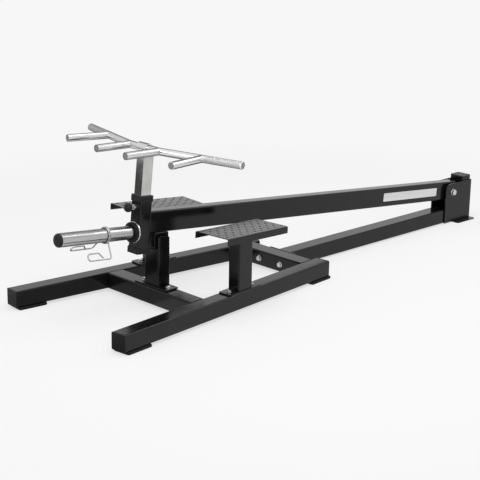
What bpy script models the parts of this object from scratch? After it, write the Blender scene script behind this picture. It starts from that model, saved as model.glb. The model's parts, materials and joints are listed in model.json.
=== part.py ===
"""T-bar row machine: a splayed floor frame with footplates, a lever arm hinged at the rear that rests
in a cradle, a weight sleeve with a spring collar, and a sliding mast with a multi-grip handle.

The front (weight sleeve) points to -X, the pivot post to +X, and left is -Y. Metres, floor at z = 0."""

import bpy
import bmesh
from math import atan2, cos, pi, radians, sin, sqrt, tan
from mathutils import Matrix, Vector

# Clearances
GAP = 0.0003                 # between faces that touch
BORE_PLAY = 0.0005           # radial, round pins, bolts and tubes
PLUG_PLAY = 0.0005           # per side, plastic plugs in tubes

# Steel tube shared by the base
TUBE_WALL = 0.003
TUBE_CORNER = 0.006
PLATE = 0.005                # bolted base and top plates
PLATE_CORNER = 0.006
CAP_PLUG = 0.012             # plastic end caps reach this far into their tubes

# Side rails: distances run back from the front end of the rails
RAIL_LENGTH = 1.1345
RAIL_WIDTH = 0.065
RAIL_HEIGHT = 0.0635
RAIL_SPREAD = 0.3055         # centre line to machine centre, at the front ends
RAIL_SPLAY = radians(5.79)
RAIL_CAP = 0.004
PAD_HEIGHT = 0.0095
PAD_LIP = 0.0045
PAD_CORNER = 0.008
PAD_EDGE = 0.0015
PAD_FRONT_LENGTH = 0.117
PAD_REAR_LENGTH = 0.121
PAD_SET_BACK = 0.012         # front pads, from the rail's front
PAD_OVERHANG = 0.010         # rear pads, past the rail's rear

# Crossmembers
CROSS_WIDTH = 0.071
FRONT_CROSS_LEAD = 0.0105    # ahead of the pedestal
REAR_CROSS_INSET = 0.0655    # ahead of the rails' rear ends

# Spine and its flange
SPINE_WIDTH = 0.070
SPINE_HEIGHT = 0.063
SPINE_FRONT_Z = 0.0065       # underside, at the flange
FLANGE_WIDTH = 0.150
FLANGE_HEIGHT = 0.0635
FLANGE_THICKNESS = 0.006
FLANGE_CORNER = 0.008
FLANGE_BOLT_Y = 0.058
FLANGE_BOLT_RADIUS = 0.006
FLANGE_BOLT_FLATS = 0.018
FLANGE_BOLT_HEAD = 0.0075
FLANGE_WASHER_RADIUS = 0.012
FLANGE_NUT = 0.010

# Rear post, cheeks and floor plate
POST_BEHIND = 0.1053         # post's middle behind the pivot
POST_DEPTH = 0.060
POST_WIDTH = 0.070
POST_TOP = 0.204
POST_CAP = 0.004
CHEEK_THICKNESS = 0.006
CHEEK_FRONT = 0.0484         # ahead of the pivot
CHEEK_TOP = 0.184
CHEEK_CORNER = 0.026
FLOOR_PLATE_BEHIND = 0.0176  # front edge behind the pivot
FLOOR_PLATE_LENGTH = 0.126
FLOOR_PLATE_WIDTH = 0.138
FLOOR_PLATE_THICKNESS = 0.005
FLOOR_PLATE_CORNER = 0.010

# Pivot
PIVOT_Z = 0.1446
PIVOT_BOLT_RADIUS = 0.008
PIVOT_BOLT_FLATS = 0.024
PIVOT_BOLT_HEAD = 0.010
PIVOT_WASHER_RADIUS = 0.015
PIVOT_NUT = 0.013
PIVOT_SLEEVE_RADIUS = 0.015
BUSH_RADIUS = 0.022

# Lever arm, measured ahead of the pivot along the arm
ARM_SLOPE = radians(5.735)
ARM_WIDTH = 0.050
ARM_HEIGHT = 0.082
ARM_RISE = 0.004             # arm centre line above the pivot
ARM_TAIL = 0.035             # behind the pivot
ARM_CAP = 0.004
MAST_REACH = 1.8194          # mast centre line ahead of the pivot
MAST_X = 0.3566              # the resting mast's middle behind the rails' front ends

# Pedestal under the arm
PEDESTAL_BEHIND = 0.0803     # behind the mast
PEDESTAL_DEPTH = 0.0565
PEDESTAL_WIDTH = 0.080
PEDESTAL_WALL = 0.004
PEDESTAL_CLEAR = 0.0125      # cheek tops below the arm
PEDESTAL_CORNER = 0.012
NOTCH_DEPTH = 0.052
NOTCH_LIP = 0.002            # wall left beside the notch, inside each cheek
CRADLE_PAD = 0.0055
CRADLE_PLUG = 0.015
CRADLE_LIP = 0.003           # pad past the tube, front and rear
CRADLE_CORNER = 0.004
PEDESTAL_PLATE_LEAD = 0.0044 # ahead of the pedestal's middle
PEDESTAL_PLATE_LENGTH = 0.067
PEDESTAL_PLATE_WIDTH = 0.174
REST_BLOCK_LENGTH = 0.068
REST_BLOCK_EDGE = 0.002

# M10 frame bolts
BOLT_RADIUS = 0.005
BOLT_LENGTH = 0.020
BOLT_FLATS = 0.016
BOLT_HEAD = 0.0065
WASHER_RADIUS = 0.0105
WASHER = 0.002
THREAD_PAST_NUT = 0.003
PEDESTAL_BOLT_Y = 0.0665

# Foot posts and footplates: distances run back along the rail
FOOT_POST_AT = 0.6335
FOOT_POST_LENGTH = 0.078
FOOT_POST_WIDTH = 0.052
FOOT_BASE_LENGTH = 0.176
FOOT_BASE_WIDTH = 0.060
FOOT_BOLT_SPACING = 0.127
FOOTPLATE_AT = 0.650
FOOTPLATE_INWARD = 0.0071
FOOTPLATE_LENGTH = 0.341
FOOTPLATE_WIDTH = 0.156
FOOTPLATE_SHEET = 0.0035
FOOTPLATE_FLANGE = 0.026
FOOTPLATE_BEND = 0.006
FOOTPLATE_TOP = 0.3009
FOOTPLATE_PITCH = radians(3.856)
FOOT_TOP_LENGTH = 0.120
FOOT_TOP_WIDTH = 0.100

# Raised lozenges of the tread
LOZENGE_LENGTH = 0.0225
LOZENGE_WIDTH = 0.0062
LOZENGE_HEIGHT = 0.0012
LOZENGE_SINK = 0.0004        # into the sheet
LOZENGE_TAPER = 0.5          # size of the top, of the foot
LOZENGE_PITCH = 0.0192
TREAD_MARGIN = 0.016         # from the plate's edge to a lozenge's middle

# Mast socket, measured up the mast from the arm's centre line
SOCKET_WIDTH = 0.054
SOCKET_WALL = 0.003
SOCKET_CORNER = 0.005
SOCKET_TOP = 0.097
SOCKET_BOTTOM = 0.111
COLLAR_WIDTH = 0.060
COLLAR_SKIRT = 0.020
COLLAR_LID = 0.003
COLLAR_CORNER = 0.006

# Mast and its pull pin
MAST_WIDTH = 0.045
MAST_WALL = 0.003
MAST_CORNER = 0.004
MAST_BOTTOM = 0.108
MAST_TOP = 0.251
MAST_PLAY = 0.0005
PIN_RADIUS = 0.004
PIN_HEIGHT = 0.057
PIN_TRAVEL = 0.010
PIN_HOLE_PITCH = 0.025
PIN_HOLES = 5
PIN_BARREL_RADIUS = 0.010
PIN_BARREL_LENGTH = 0.013
KNOB_RADIUS = 0.017
KNOB_LENGTH = 0.028
KNOB_NECK = 0.0102
KNOB_COLLAR = 0.003          # straight part of the neck
KNOB_BORE = 0.0168

# Weight sleeve and spring collar
SLEEVE_RADIUS = 0.025
SLEEVE_WALL = 0.003
SLEEVE_DROP = 0.036          # sleeve centre line below the arm's
SLEEVE_END = 0.3746          # tip of the end cap ahead of the mast
SLEEVE_CAP = 0.010
SLEEVE_CAP_ROUND = 0.008
SLEEVE_PLUG = 0.015
STOP_FLANGE_RADIUS = 0.039
STOP_FLANGE = 0.006
STOP_RING_RADIUS = 0.0375
STOP_RING = 0.011
WIRE_RADIUS = 0.0025
COIL_PLAY = 0.0008
COIL_PITCH = 0.0057
COIL_FULL_TURNS = 2
COIL_POINTS = 20             # points in a turn
COIL_AT = 0.160              # middle of the coil ahead of the mast
LEG_ANGLES = (-25, 45)       # of the two wire legs from straight down, degrees
LEG_OUT = 0.0855
LEG_FORWARD = 0.102
LEG_LOOP = 0.025
LEG_RETURN = 0.050
LEG_TIP = 0.066
LEG_LEAD = radians(16)       # of coil at each end that the leg's first bend takes
LEG_BENDS = (0.004, 0.008, 0.012, 0.012, 0.008)

# Handle
BAR_RADIUS = 0.014
BAR_WALL = 0.002
HANDLE_HEIGHT = 0.2713       # bar centre above the arm's centre line
HANDLE_FORWARD = 0.007       # bar centre ahead of the mast's
HANDLE_PITCH = radians(-3.5)
HANDLE_SWEEP = radians(14.4)
BAR_STRAIGHT = 0.080
BAR_SPAN = 0.415
INNER_GRIP_Y = 0.0796
INNER_GRIP_LENGTH = 0.155
WING_LENGTH = 0.162          # of bar past the outer grips, across the machine
OUTER_GRIP_LENGTH = 0.173
OUTER_GRIP_ANGLE = radians(10.7)
BAR_BEND = 0.060
PLUG_DEPTH = 0.010
VENT_RADIUS = 0.004          # drain hole that plated tubes have, inside the saddle
SADDLE_WIDTH = 0.054
SADDLE_WALL = 0.005
SADDLE_NECK = 0.0051         # below the bar's middle, where the block starts to widen

SIDES = (("left", -1), ("right", 1))
ALONG_X = (pi / 2, 0, pi / 2)    # outline across YZ, depth along X
ALONG_Y = (pi / 2, 0, 0)         # outline across XZ, depth along Y
HEAD_TO_FRONT = (0, -pi / 2, 0)  # local Z turned to -X

# Finishes: colour, roughness, metallic
PAINT = ((0.022, 0.022, 0.024), 0.32, 0.0)
TREAD = ((0.16, 0.16, 0.165), 0.5, 0.6)
CHROME = ((0.78, 0.78, 0.80), 0.12, 1.0)
ZINC = ((0.62, 0.62, 0.64), 0.28, 1.0)
PLASTIC = ((0.02, 0.02, 0.022), 0.5, 0.0)
RUBBER = ((0.015, 0.015, 0.016), 0.8, 0.0)

# Heights and places that follow from the sizes above; X runs back from the rails' front ends
PIVOT_X = MAST_X + MAST_REACH * cos(ARM_SLOPE) - ARM_RISE * sin(ARM_SLOPE)
POST_X = PIVOT_X + POST_BEHIND
FLOOR_PLATE_FRONT = PIVOT_X + FLOOR_PLATE_BEHIND
FLOOR_PLATE_REAR = FLOOR_PLATE_FRONT + FLOOR_PLATE_LENGTH
PEDESTAL_X = MAST_X + PEDESTAL_BEHIND
PEDESTAL_PLATE_X = PEDESTAL_X - PEDESTAL_PLATE_LEAD
REST_BLOCK_FRONT = PEDESTAL_X - REST_BLOCK_LENGTH / 2
REST_BLOCK_REAR = PEDESTAL_X + REST_BLOCK_LENGTH / 2
FRONT_CROSS_X = PEDESTAL_X - FRONT_CROSS_LEAD
REAR_CROSS_X = (RAIL_CAP + GAP + RAIL_LENGTH) * cos(RAIL_SPLAY) - REAR_CROSS_INSET
RAIL_BOTTOM = PAD_HEIGHT + GAP
RAIL_TOP = RAIL_BOTTOM + RAIL_HEIGHT
BASE_PLATE_BOTTOM = RAIL_TOP + GAP
BASE_PLATE_TOP = BASE_PLATE_BOTTOM + PLATE
CHEEK_Y = POST_WIDTH / 2 + GAP + CHEEK_THICKNESS / 2
ARM_UNDERSIDE = ARM_RISE - ARM_HEIGHT / 2
ARM_FRONT = MAST_REACH - SOCKET_WIDTH / 2 - GAP
OUTER_GRIP_Y = BAR_SPAN - WING_LENGTH
COIL_RADIUS = SLEEVE_RADIUS + WIRE_RADIUS + COIL_PLAY
SLEEVE_TIP_X = PIVOT_X - (MAST_REACH + SLEEVE_END) * cos(ARM_SLOPE) + (ARM_RISE - SLEEVE_DROP) * sin(ARM_SLOPE)
ORIGIN_X = (SLEEVE_TIP_X + FLOOR_PLATE_REAR) / 2


# Scene and object helpers

def clear_scene():
    for thing in list(bpy.data.objects):
        bpy.data.objects.remove(thing)


def new_collection(name):
    collection = bpy.data.collections.new(name)
    bpy.context.scene.collection.children.link(collection)
    return collection


def add_axis(name, parent, location, rotation=(0, 0, 0)):
    """An empty that carries pieces: a joint's axis or a line that they are set out from."""
    axis = bpy.data.objects.new(name, None)
    axis.empty_display_size = 0.05
    PARTS.objects.link(axis)
    axis.parent = parent
    axis.location = location
    axis.rotation_euler = rotation
    return axis


def new_material(name, finish):
    colour, roughness, metallic = finish
    material = bpy.data.materials.new(name + "_finish")
    material.use_nodes = True
    shader = material.node_tree.nodes["Principled BSDF"]
    shader.inputs["Base Color"].default_value = (*colour, 1)
    shader.inputs["Roughness"].default_value = roughness
    shader.inputs["Metallic"].default_value = metallic
    return material


def add_part(name, mesh, finish, parent, location=(0, 0, 0), rotation=(0, 0, 0), smooth=False):
    part = bpy.data.objects.new(name, mesh)
    PARTS.objects.link(part)
    part.parent = parent
    part.location = location
    part.rotation_euler = rotation
    mesh.materials.clear()
    mesh.materials.append(new_material(name, finish))
    if smooth:
        mesh.shade_smooth()
        mesh.set_sharp_from_angle(angle=radians(35))
    return part


def add_cutter(name, mesh, parent, location=(0, 0, 0), rotation=(0, 0, 0)):
    cutter = bpy.data.objects.new(name, mesh)
    CUTTERS.objects.link(cutter)
    cutter.parent = parent
    cutter.location = location
    cutter.rotation_euler = rotation
    cutter.hide_render = True
    cutter.display_type = 'WIRE'
    return cutter


def combine(part, tool, operation='DIFFERENCE'):
    modifier = part.modifiers.new(tool.name, 'BOOLEAN')
    modifier.operation = operation
    modifier.object = tool


def add_bevel(part, width, segments=2):
    bevel = part.modifiers.new("edge", 'BEVEL')
    bevel.width = width
    bevel.segments = segments
    bevel.limit_method = 'ANGLE'
    bevel.angle_limit = radians(40)


# Mesh helpers

def mesh_from(name, shape):
    mesh = bpy.data.meshes.new(name)
    shape.to_mesh(mesh)
    shape.free()
    return mesh


def evaluated_mesh(holder):
    """The closed mesh of an object with its modifiers and curve caps, welded."""
    bpy.context.view_layer.update()
    evaluated = holder.evaluated_get(bpy.context.evaluated_depsgraph_get())
    mesh = bpy.data.meshes.new_from_object(evaluated)
    shape = bmesh.new()
    shape.from_mesh(mesh)
    bmesh.ops.remove_doubles(shape, verts=shape.verts, dist=0.00001)
    bmesh.ops.recalc_face_normals(shape, faces=shape.faces)
    shape.to_mesh(mesh)
    shape.free()
    return mesh


def box_mesh(name, size):
    shape = bmesh.new()
    bmesh.ops.create_cube(shape, size=1)
    bmesh.ops.scale(shape, vec=size, verts=shape.verts)
    return mesh_from(name, shape)


def cylinder_mesh(name, radius, length, sides=24):
    shape = bmesh.new()
    bmesh.ops.create_cone(
        shape, cap_ends=True, segments=sides, radius1=radius, radius2=radius, depth=length)
    return mesh_from(name, shape)


def rounded_rectangle(width, height, radius, corner_points=4):
    """Closed outline of a rectangle about the origin with round corners."""
    points = []
    for corner, (right, up) in enumerate(((1, 1), (-1, 1), (-1, -1), (1, -1))):
        centre_x = right * (width / 2 - radius)
        centre_y = up * (height / 2 - radius)
        for step in range(corner_points):
            angle = (corner + step / (corner_points - 1)) * pi / 2
            points.append((centre_x + radius * cos(angle), centre_y + radius * sin(angle)))
    return points


def circle(radius, centre=(0, 0), sides=16):
    return [(centre[0] + radius * cos(2 * pi * step / sides), centre[1] + radius * sin(2 * pi * step / sides))
            for step in range(sides)]


def extruded_mesh(name, outlines, depth):
    """Flat outlines (the outside, then any holes) given a depth along Z, centred."""
    curve = bpy.data.curves.new(name, 'CURVE')
    curve.dimensions = '2D'
    curve.fill_mode = 'BOTH'
    curve.extrude = depth / 2
    for outline in outlines:
        spline = curve.splines.new('POLY')
        spline.points.add(len(outline) - 1)
        for point, (x, y) in zip(spline.points, outline):
            point.co = (x, y, 0, 1)
        spline.use_cyclic_u = True
    holder = bpy.data.objects.new(name, curve)
    bpy.context.scene.collection.objects.link(holder)
    mesh = evaluated_mesh(holder)
    bpy.data.objects.remove(holder)
    return mesh


def tube_mesh(name, width, height, wall, corner, length):
    """Rectangular tube with round corners along Z, open at both ends: a skin thickened inward."""
    shape = bmesh.new()
    outline = [shape.verts.new((x, y, -length / 2)) for x, y in rounded_rectangle(width, height, corner)]
    edges = [shape.edges.new(pair) for pair in zip(outline, outline[1:] + outline[:1])]
    lifted = bmesh.ops.extrude_edge_only(shape, edges=edges)["geom"]
    bmesh.ops.translate(shape, vec=(0, 0, length), verts=[v for v in lifted if isinstance(v, bmesh.types.BMVert)])
    bmesh.ops.recalc_face_normals(shape, faces=shape.faces)
    holder = bpy.data.objects.new(name, mesh_from(name, shape))
    bpy.context.scene.collection.objects.link(holder)
    skin = holder.modifiers.new("wall", 'SOLIDIFY')
    skin.thickness = wall
    skin.offset = -1
    skin.use_even_offset = True
    mesh = evaluated_mesh(holder)
    bpy.data.objects.remove(holder)
    return mesh


def ring_mesh(name, radius, bore, length, sides=32):
    return extruded_mesh(name, [circle(radius, sides=sides), circle(bore, sides=sides)], length)


def wire_mesh(name, points, radius, bevel_resolution):
    """A round bar along a line of points, with flat ends."""
    curve = bpy.data.curves.new(name, 'CURVE')
    curve.dimensions = '3D'
    curve.bevel_depth = radius
    curve.bevel_resolution = bevel_resolution
    curve.use_fill_caps = True
    spline = curve.splines.new('POLY')
    spline.points.add(len(points) - 1)
    for point, place in zip(spline.points, points):
        point.co = (*place, 1)
    holder = bpy.data.objects.new(name, curve)
    bpy.context.scene.collection.objects.link(holder)
    mesh = evaluated_mesh(holder)
    bpy.data.objects.remove(holder)
    return mesh


def rounded_path(corners, radii, steps=4):
    """Points along a bent wire: straight runs, with an arc of its own radius at each inner corner."""
    points = [corners[0]]
    for before, corner, after, radius in zip(corners, corners[1:], corners[2:], radii):
        inward = (before - corner).normalized()
        outward = (after - corner).normalized()
        half = inward.angle(outward) / 2
        centre = corner + (inward + outward).normalized() * (radius / sin(half))
        start = corner + inward * (radius / tan(half)) - centre
        end = corner + outward * (radius / tan(half)) - centre
        turn = start.angle(end)
        for step in range(steps + 1):
            share = step / steps
            arm = start * sin((1 - share) * turn) + end * sin(share * turn)
            points.append(centre + arm / sin(turn))
    points.append(corners[-1])
    return points


def merged_mesh(name, shapes, operation):
    """One solid from meshes given with their matrices: the first joined to, or cut by, the others."""
    holders = []
    for mesh, matrix in shapes:
        holder = bpy.data.objects.new(name, mesh)
        holder.matrix_world = matrix
        bpy.context.scene.collection.objects.link(holder)
        holders.append(holder)
    base = holders[0]
    base.data.transform(base.matrix_world)
    base.matrix_world = Matrix.Identity(4)
    for holder in holders[1:]:
        combine(base, holder, operation)
    mesh = evaluated_mesh(base)
    for holder in holders:
        bpy.data.objects.remove(holder)
    return mesh


def united_mesh(name, shapes):
    return merged_mesh(name, shapes, 'UNION')


def carved_mesh(name, shapes):
    return merged_mesh(name, shapes, 'DIFFERENCE')


def repeated_mesh(name, mesh, matrices):
    """Separate copies of one solid in one mesh."""
    shape = bmesh.new()
    for matrix in matrices:
        first = len(shape.verts)
        shape.from_mesh(mesh)
        shape.verts.ensure_lookup_table()
        bmesh.ops.transform(shape, matrix=matrix, verts=shape.verts[first:])
    return mesh_from(name, shape)


def turned_mesh(name, profile, steps=32):
    """A solid turned about Z from (radius, height) points listed from the top down."""
    shape = bmesh.new()
    points = [shape.verts.new((radius, 0, height)) for radius, height in profile]
    for upper, lower in zip(points, points[1:]):
        shape.edges.new((upper, lower))
    holder = bpy.data.objects.new(name, mesh_from(name, shape))
    bpy.context.scene.collection.objects.link(holder)
    screw = holder.modifiers.new("turn", 'SCREW')
    screw.steps = steps
    screw.render_steps = steps
    screw.use_merge_vertices = True
    screw.merge_threshold = 0.00001
    mesh = evaluated_mesh(holder)
    bpy.data.objects.remove(holder)
    return mesh


def bolt_mesh(name, radius, length, flats, head, washer_radius):
    """Hex bolt on its washer: head up, the washer's underside at z = 0."""
    sink = WASHER / 4
    hexagon = cylinder_mesh(name, flats / sqrt(3), head + sink, 6)
    washer = cylinder_mesh(name, washer_radius, WASHER, 20)
    shank = cylinder_mesh(name, radius, length + sink, 16)
    return united_mesh(name, [
        (washer, Matrix.Translation((0, 0, WASHER / 2))),
        (hexagon, Matrix.Translation((0, 0, WASHER + (head - sink) / 2))),
        (shank, Matrix.Translation((0, 0, (sink - length) / 2)))])


def nut_mesh(name, radius, flats, height):
    """Hex nut with its seat at z = 0."""
    mesh = extruded_mesh(name, [circle(flats / sqrt(3), sides=6), circle(radius + BORE_PLAY)], height)
    mesh.transform(Matrix.Translation((0, 0, height / 2)))
    return mesh


def through_bolt_mesh(name, radius, grip, flats, head, washer_radius, nut_height):
    """Bolt with its nut run on: head up, the washer's underside at z = 0, the nut's seat at -grip."""
    bolt = bolt_mesh(name, radius, grip + nut_height + THREAD_PAST_NUT, flats, head, washer_radius)
    nut = cylinder_mesh(name, flats / sqrt(3), nut_height, 6)
    return united_mesh(name, [
        (bolt, Matrix.Identity(4)),
        (nut, Matrix.Translation((0, 0, -grip - nut_height / 2)))])


# Where things stand

def arm_underside(x):
    """Height of the resting arm's lower face above a place on the machine."""
    return PIVOT_Z + (PIVOT_X - x) * tan(ARM_SLOPE) + ARM_UNDERSIDE / cos(ARM_SLOPE)


def from_arm(x, z):
    """A point of the machine's middle plane, seen from the resting arm's own axes."""
    across = x - PIVOT_X
    up = z - PIVOT_Z
    return (across * cos(ARM_SLOPE) - up * sin(ARM_SLOPE), across * sin(ARM_SLOPE) + up * cos(ARM_SLOPE))


# Base frame

def add_rail(side_name, side, rail_line):
    length = RAIL_LENGTH
    tube = tube_mesh("side_rail_" + side_name, RAIL_WIDTH, RAIL_HEIGHT, TUBE_WALL, TUBE_CORNER, length)
    rail = add_part("side_rail_" + side_name, tube, PAINT, rail_line,
                    (RAIL_CAP + GAP + length / 2, 0, RAIL_BOTTOM + RAIL_HEIGHT / 2), ALONG_X)
    holes = []
    for end in (-1, 1):
        holes.append(Matrix.Translation((FOOT_POST_AT + end * FOOT_BOLT_SPACING / 2, 0, RAIL_TOP)))
    drill = cylinder_mesh("rail_holes", BOLT_RADIUS + BORE_PLAY, 4 * TUBE_WALL, 16)
    combine(rail, add_cutter("rail_holes_" + side_name, repeated_mesh("rail_holes", drill, holes), rail_line))


def end_cap_mesh(name, width, height, wall, head, corner):
    """Flat head with a plug that fits a rectangular tube, facing +Z, its seat at z = 0."""
    plug_width = width - 2 * (wall + PLUG_PLAY)
    plug_height = height - 2 * (wall + PLUG_PLAY)
    lid = extruded_mesh(name, [rounded_rectangle(width, height, corner)], head)
    plug = extruded_mesh(name, [rounded_rectangle(plug_width, plug_height, corner / 2, 3)], CAP_PLUG + head / 2)
    return united_mesh(name, [
        (lid, Matrix.Translation((0, 0, head / 2))),
        (plug, Matrix.Translation((0, 0, head / 4 - CAP_PLUG / 2)))])


def add_rail_caps(side_name, rail_line):
    ends = (("front", RAIL_CAP, (pi / 2, 0, -pi / 2)),
            ("rear", RAIL_CAP + RAIL_LENGTH + 2 * GAP, ALONG_X))
    for end, seat, facing in ends:
        name = "rail_end_cap_" + end + "_" + side_name
        cap = end_cap_mesh(name, RAIL_WIDTH, RAIL_HEIGHT, TUBE_WALL, RAIL_CAP, TUBE_CORNER)
        add_part(name, cap, PLASTIC, rail_line, (seat, 0, RAIL_BOTTOM + RAIL_HEIGHT / 2), facing)


def add_foot_pads(side_name, rail_line):
    overall = RAIL_LENGTH + 2 * (RAIL_CAP + GAP)
    ends = (("front", PAD_FRONT_LENGTH, PAD_SET_BACK + PAD_FRONT_LENGTH / 2),
            ("rear", PAD_REAR_LENGTH, overall + PAD_OVERHANG - PAD_REAR_LENGTH / 2))
    for end, length, middle in ends:
        name = "foot_pad_" + end + "_" + side_name
        outline = rounded_rectangle(length, RAIL_WIDTH + 2 * PAD_LIP, PAD_CORNER)
        pad = add_part(name, extruded_mesh(name, [outline], PAD_HEIGHT), RUBBER, rail_line,
                       (middle, 0, PAD_HEIGHT / 2))
        add_bevel(pad, PAD_EDGE, 1)


def add_crossmember(name, x, machine, rail_lines):
    """A tube between the rails, its ends mitred to their inner faces."""
    spread = 2 * (RAIL_SPREAD - x * tan(RAIL_SPLAY))
    tube = tube_mesh(name, CROSS_WIDTH, RAIL_HEIGHT, TUBE_WALL, TUBE_CORNER, spread)
    cross = add_part(name, tube, PAINT, machine, (x, 0, RAIL_BOTTOM + RAIL_HEIGHT / 2), ALONG_Y)
    for side_name, side in SIDES:
        envelope = box_mesh("rail_envelope", (RAIL_LENGTH, RAIL_WIDTH + 2 * GAP, 2 * RAIL_HEIGHT))
        combine(cross, add_cutter(name + "_mitre_" + side_name, envelope, rail_lines[side],
                                  (RAIL_LENGTH / 2, 0, RAIL_BOTTOM + RAIL_HEIGHT / 2)))
    return cross


def add_spine(machine, rear_cross):
    cross_rear = REAR_CROSS_X + CROSS_WIDTH / 2
    flange_x = cross_rear + GAP + FLANGE_THICKNESS / 2
    middle_z = RAIL_BOTTOM + RAIL_HEIGHT / 2
    holes = [circle(FLANGE_BOLT_RADIUS + BORE_PLAY, (side * FLANGE_BOLT_Y, 0)) for name, side in SIDES]
    plate = extruded_mesh("spine_flange", [rounded_rectangle(FLANGE_WIDTH, FLANGE_HEIGHT, FLANGE_CORNER)] + holes,
                          FLANGE_THICKNESS)
    add_part("spine_flange", plate, PAINT, machine, (flange_x, 0, middle_z), ALONG_X)

    drill = cylinder_mesh("flange_holes", FLANGE_BOLT_RADIUS + BORE_PLAY, 1.5 * CROSS_WIDTH, 16)
    drill.transform(Matrix.Rotation(pi / 2, 4, 'Y'))
    places = [Matrix.Translation((0, side * FLANGE_BOLT_Y, 0)) for name, side in SIDES]
    combine(rear_cross, add_cutter("flange_holes", repeated_mesh("flange_holes", drill, places), machine,
                                   (REAR_CROSS_X, 0, middle_z)))

    front = Vector((flange_x + FLANGE_THICKNESS / 2 + GAP, 0, SPINE_FRONT_Z + SPINE_HEIGHT / 2))
    rear = Vector((POST_X - POST_DEPTH / 2 - GAP, 0, FLOOR_PLATE_THICKNESS + GAP + SPINE_HEIGHT / 2))
    run = rear - front
    dip = atan2(-run.z, run.x)
    clear_ends = run.length - SPINE_HEIGHT * abs(sin(dip))
    tube = tube_mesh("spine_tube", SPINE_WIDTH, SPINE_HEIGHT, TUBE_WALL, TUBE_CORNER, clear_ends)
    spine = add_part("spine_tube", tube, PAINT, machine, (front + rear) / 2, (0, 0, 0))
    spine.rotation_mode = 'QUATERNION'
    spine.rotation_quaternion = (Matrix.Rotation(dip, 4, 'Y') @ Matrix.Rotation(pi / 2, 4, 'Z')
                                 @ Matrix.Rotation(pi / 2, 4, 'X')).to_quaternion()


def add_spine_bolts(machine):
    seat_x = REAR_CROSS_X - CROSS_WIDTH / 2 - GAP
    grip = CROSS_WIDTH + FLANGE_THICKNESS + 3 * GAP
    for side_name, side in SIDES:
        name = "spine_bolt_" + side_name
        bolt = through_bolt_mesh(name, FLANGE_BOLT_RADIUS, grip, FLANGE_BOLT_FLATS, FLANGE_BOLT_HEAD,
                                 FLANGE_WASHER_RADIUS, FLANGE_NUT)
        add_part(name, bolt, ZINC, machine, (seat_x, side * FLANGE_BOLT_Y, RAIL_BOTTOM + RAIL_HEIGHT / 2),
                 HEAD_TO_FRONT)


def add_floor_plate(machine):
    outline = rounded_rectangle(FLOOR_PLATE_LENGTH, FLOOR_PLATE_WIDTH, FLOOR_PLATE_CORNER)
    mesh = extruded_mesh("rear_foot_plate", [outline], FLOOR_PLATE_THICKNESS)
    middle = (FLOOR_PLATE_FRONT + FLOOR_PLATE_REAR) / 2
    add_part("rear_foot_plate", mesh, PAINT, machine, (middle, 0, FLOOR_PLATE_THICKNESS / 2))


def add_post(machine):
    foot = FLOOR_PLATE_THICKNESS + GAP
    top = POST_TOP - POST_CAP - GAP
    tube = tube_mesh("pivot_post", POST_DEPTH, POST_WIDTH, TUBE_WALL, TUBE_CORNER, top - foot)
    add_part("pivot_post", tube, PAINT, machine, (POST_X, 0, (foot + top) / 2))
    cap = end_cap_mesh("post_cap", POST_DEPTH, POST_WIDTH, TUBE_WALL, POST_CAP, TUBE_CORNER)
    add_part("post_cap", cap, PLASTIC, machine, (POST_X, 0, top + GAP))


def add_cheeks(machine):
    """Plates on both sides of spine and post, with one round corner above the arm."""
    front = -CHEEK_FRONT
    rear = POST_X + POST_DEPTH / 2 - PIVOT_X
    top = CHEEK_TOP - PIVOT_Z
    foot = FLOOR_PLATE_THICKNESS + GAP - PIVOT_Z
    outline = [(front, foot), (rear, foot), (rear, top)]
    for step in range(7):
        angle = pi / 2 + step / 6 * pi / 2
        outline.append((front + CHEEK_CORNER * (1 + cos(angle)), top - CHEEK_CORNER * (1 - sin(angle))))
    for side_name, side in SIDES:
        name = "cheek_plate_" + side_name
        mesh = extruded_mesh(name, [outline, circle(PIVOT_BOLT_RADIUS + BORE_PLAY, sides=24)], CHEEK_THICKNESS)
        add_part(name, mesh, PAINT, machine, (PIVOT_X, side * CHEEK_Y, PIVOT_Z), ALONG_Y)


def add_pivot_bolt(machine):
    seat = CHEEK_Y + CHEEK_THICKNESS / 2 + GAP
    length = 2 * seat + PIVOT_NUT + THREAD_PAST_NUT
    bolt = bolt_mesh("pivot_bolt", PIVOT_BOLT_RADIUS, length, PIVOT_BOLT_FLATS, PIVOT_BOLT_HEAD,
                     PIVOT_WASHER_RADIUS)
    add_part("pivot_bolt", bolt, ZINC, machine, (PIVOT_X, -seat, PIVOT_Z), (pi / 2, 0, 0))
    nut = nut_mesh("pivot_nut", PIVOT_BOLT_RADIUS, PIVOT_BOLT_FLATS, PIVOT_NUT)
    add_part("pivot_nut", nut, ZINC, machine, (PIVOT_X, seat, PIVOT_Z), (-pi / 2, 0, 0))


# Pedestal and footplates

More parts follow.
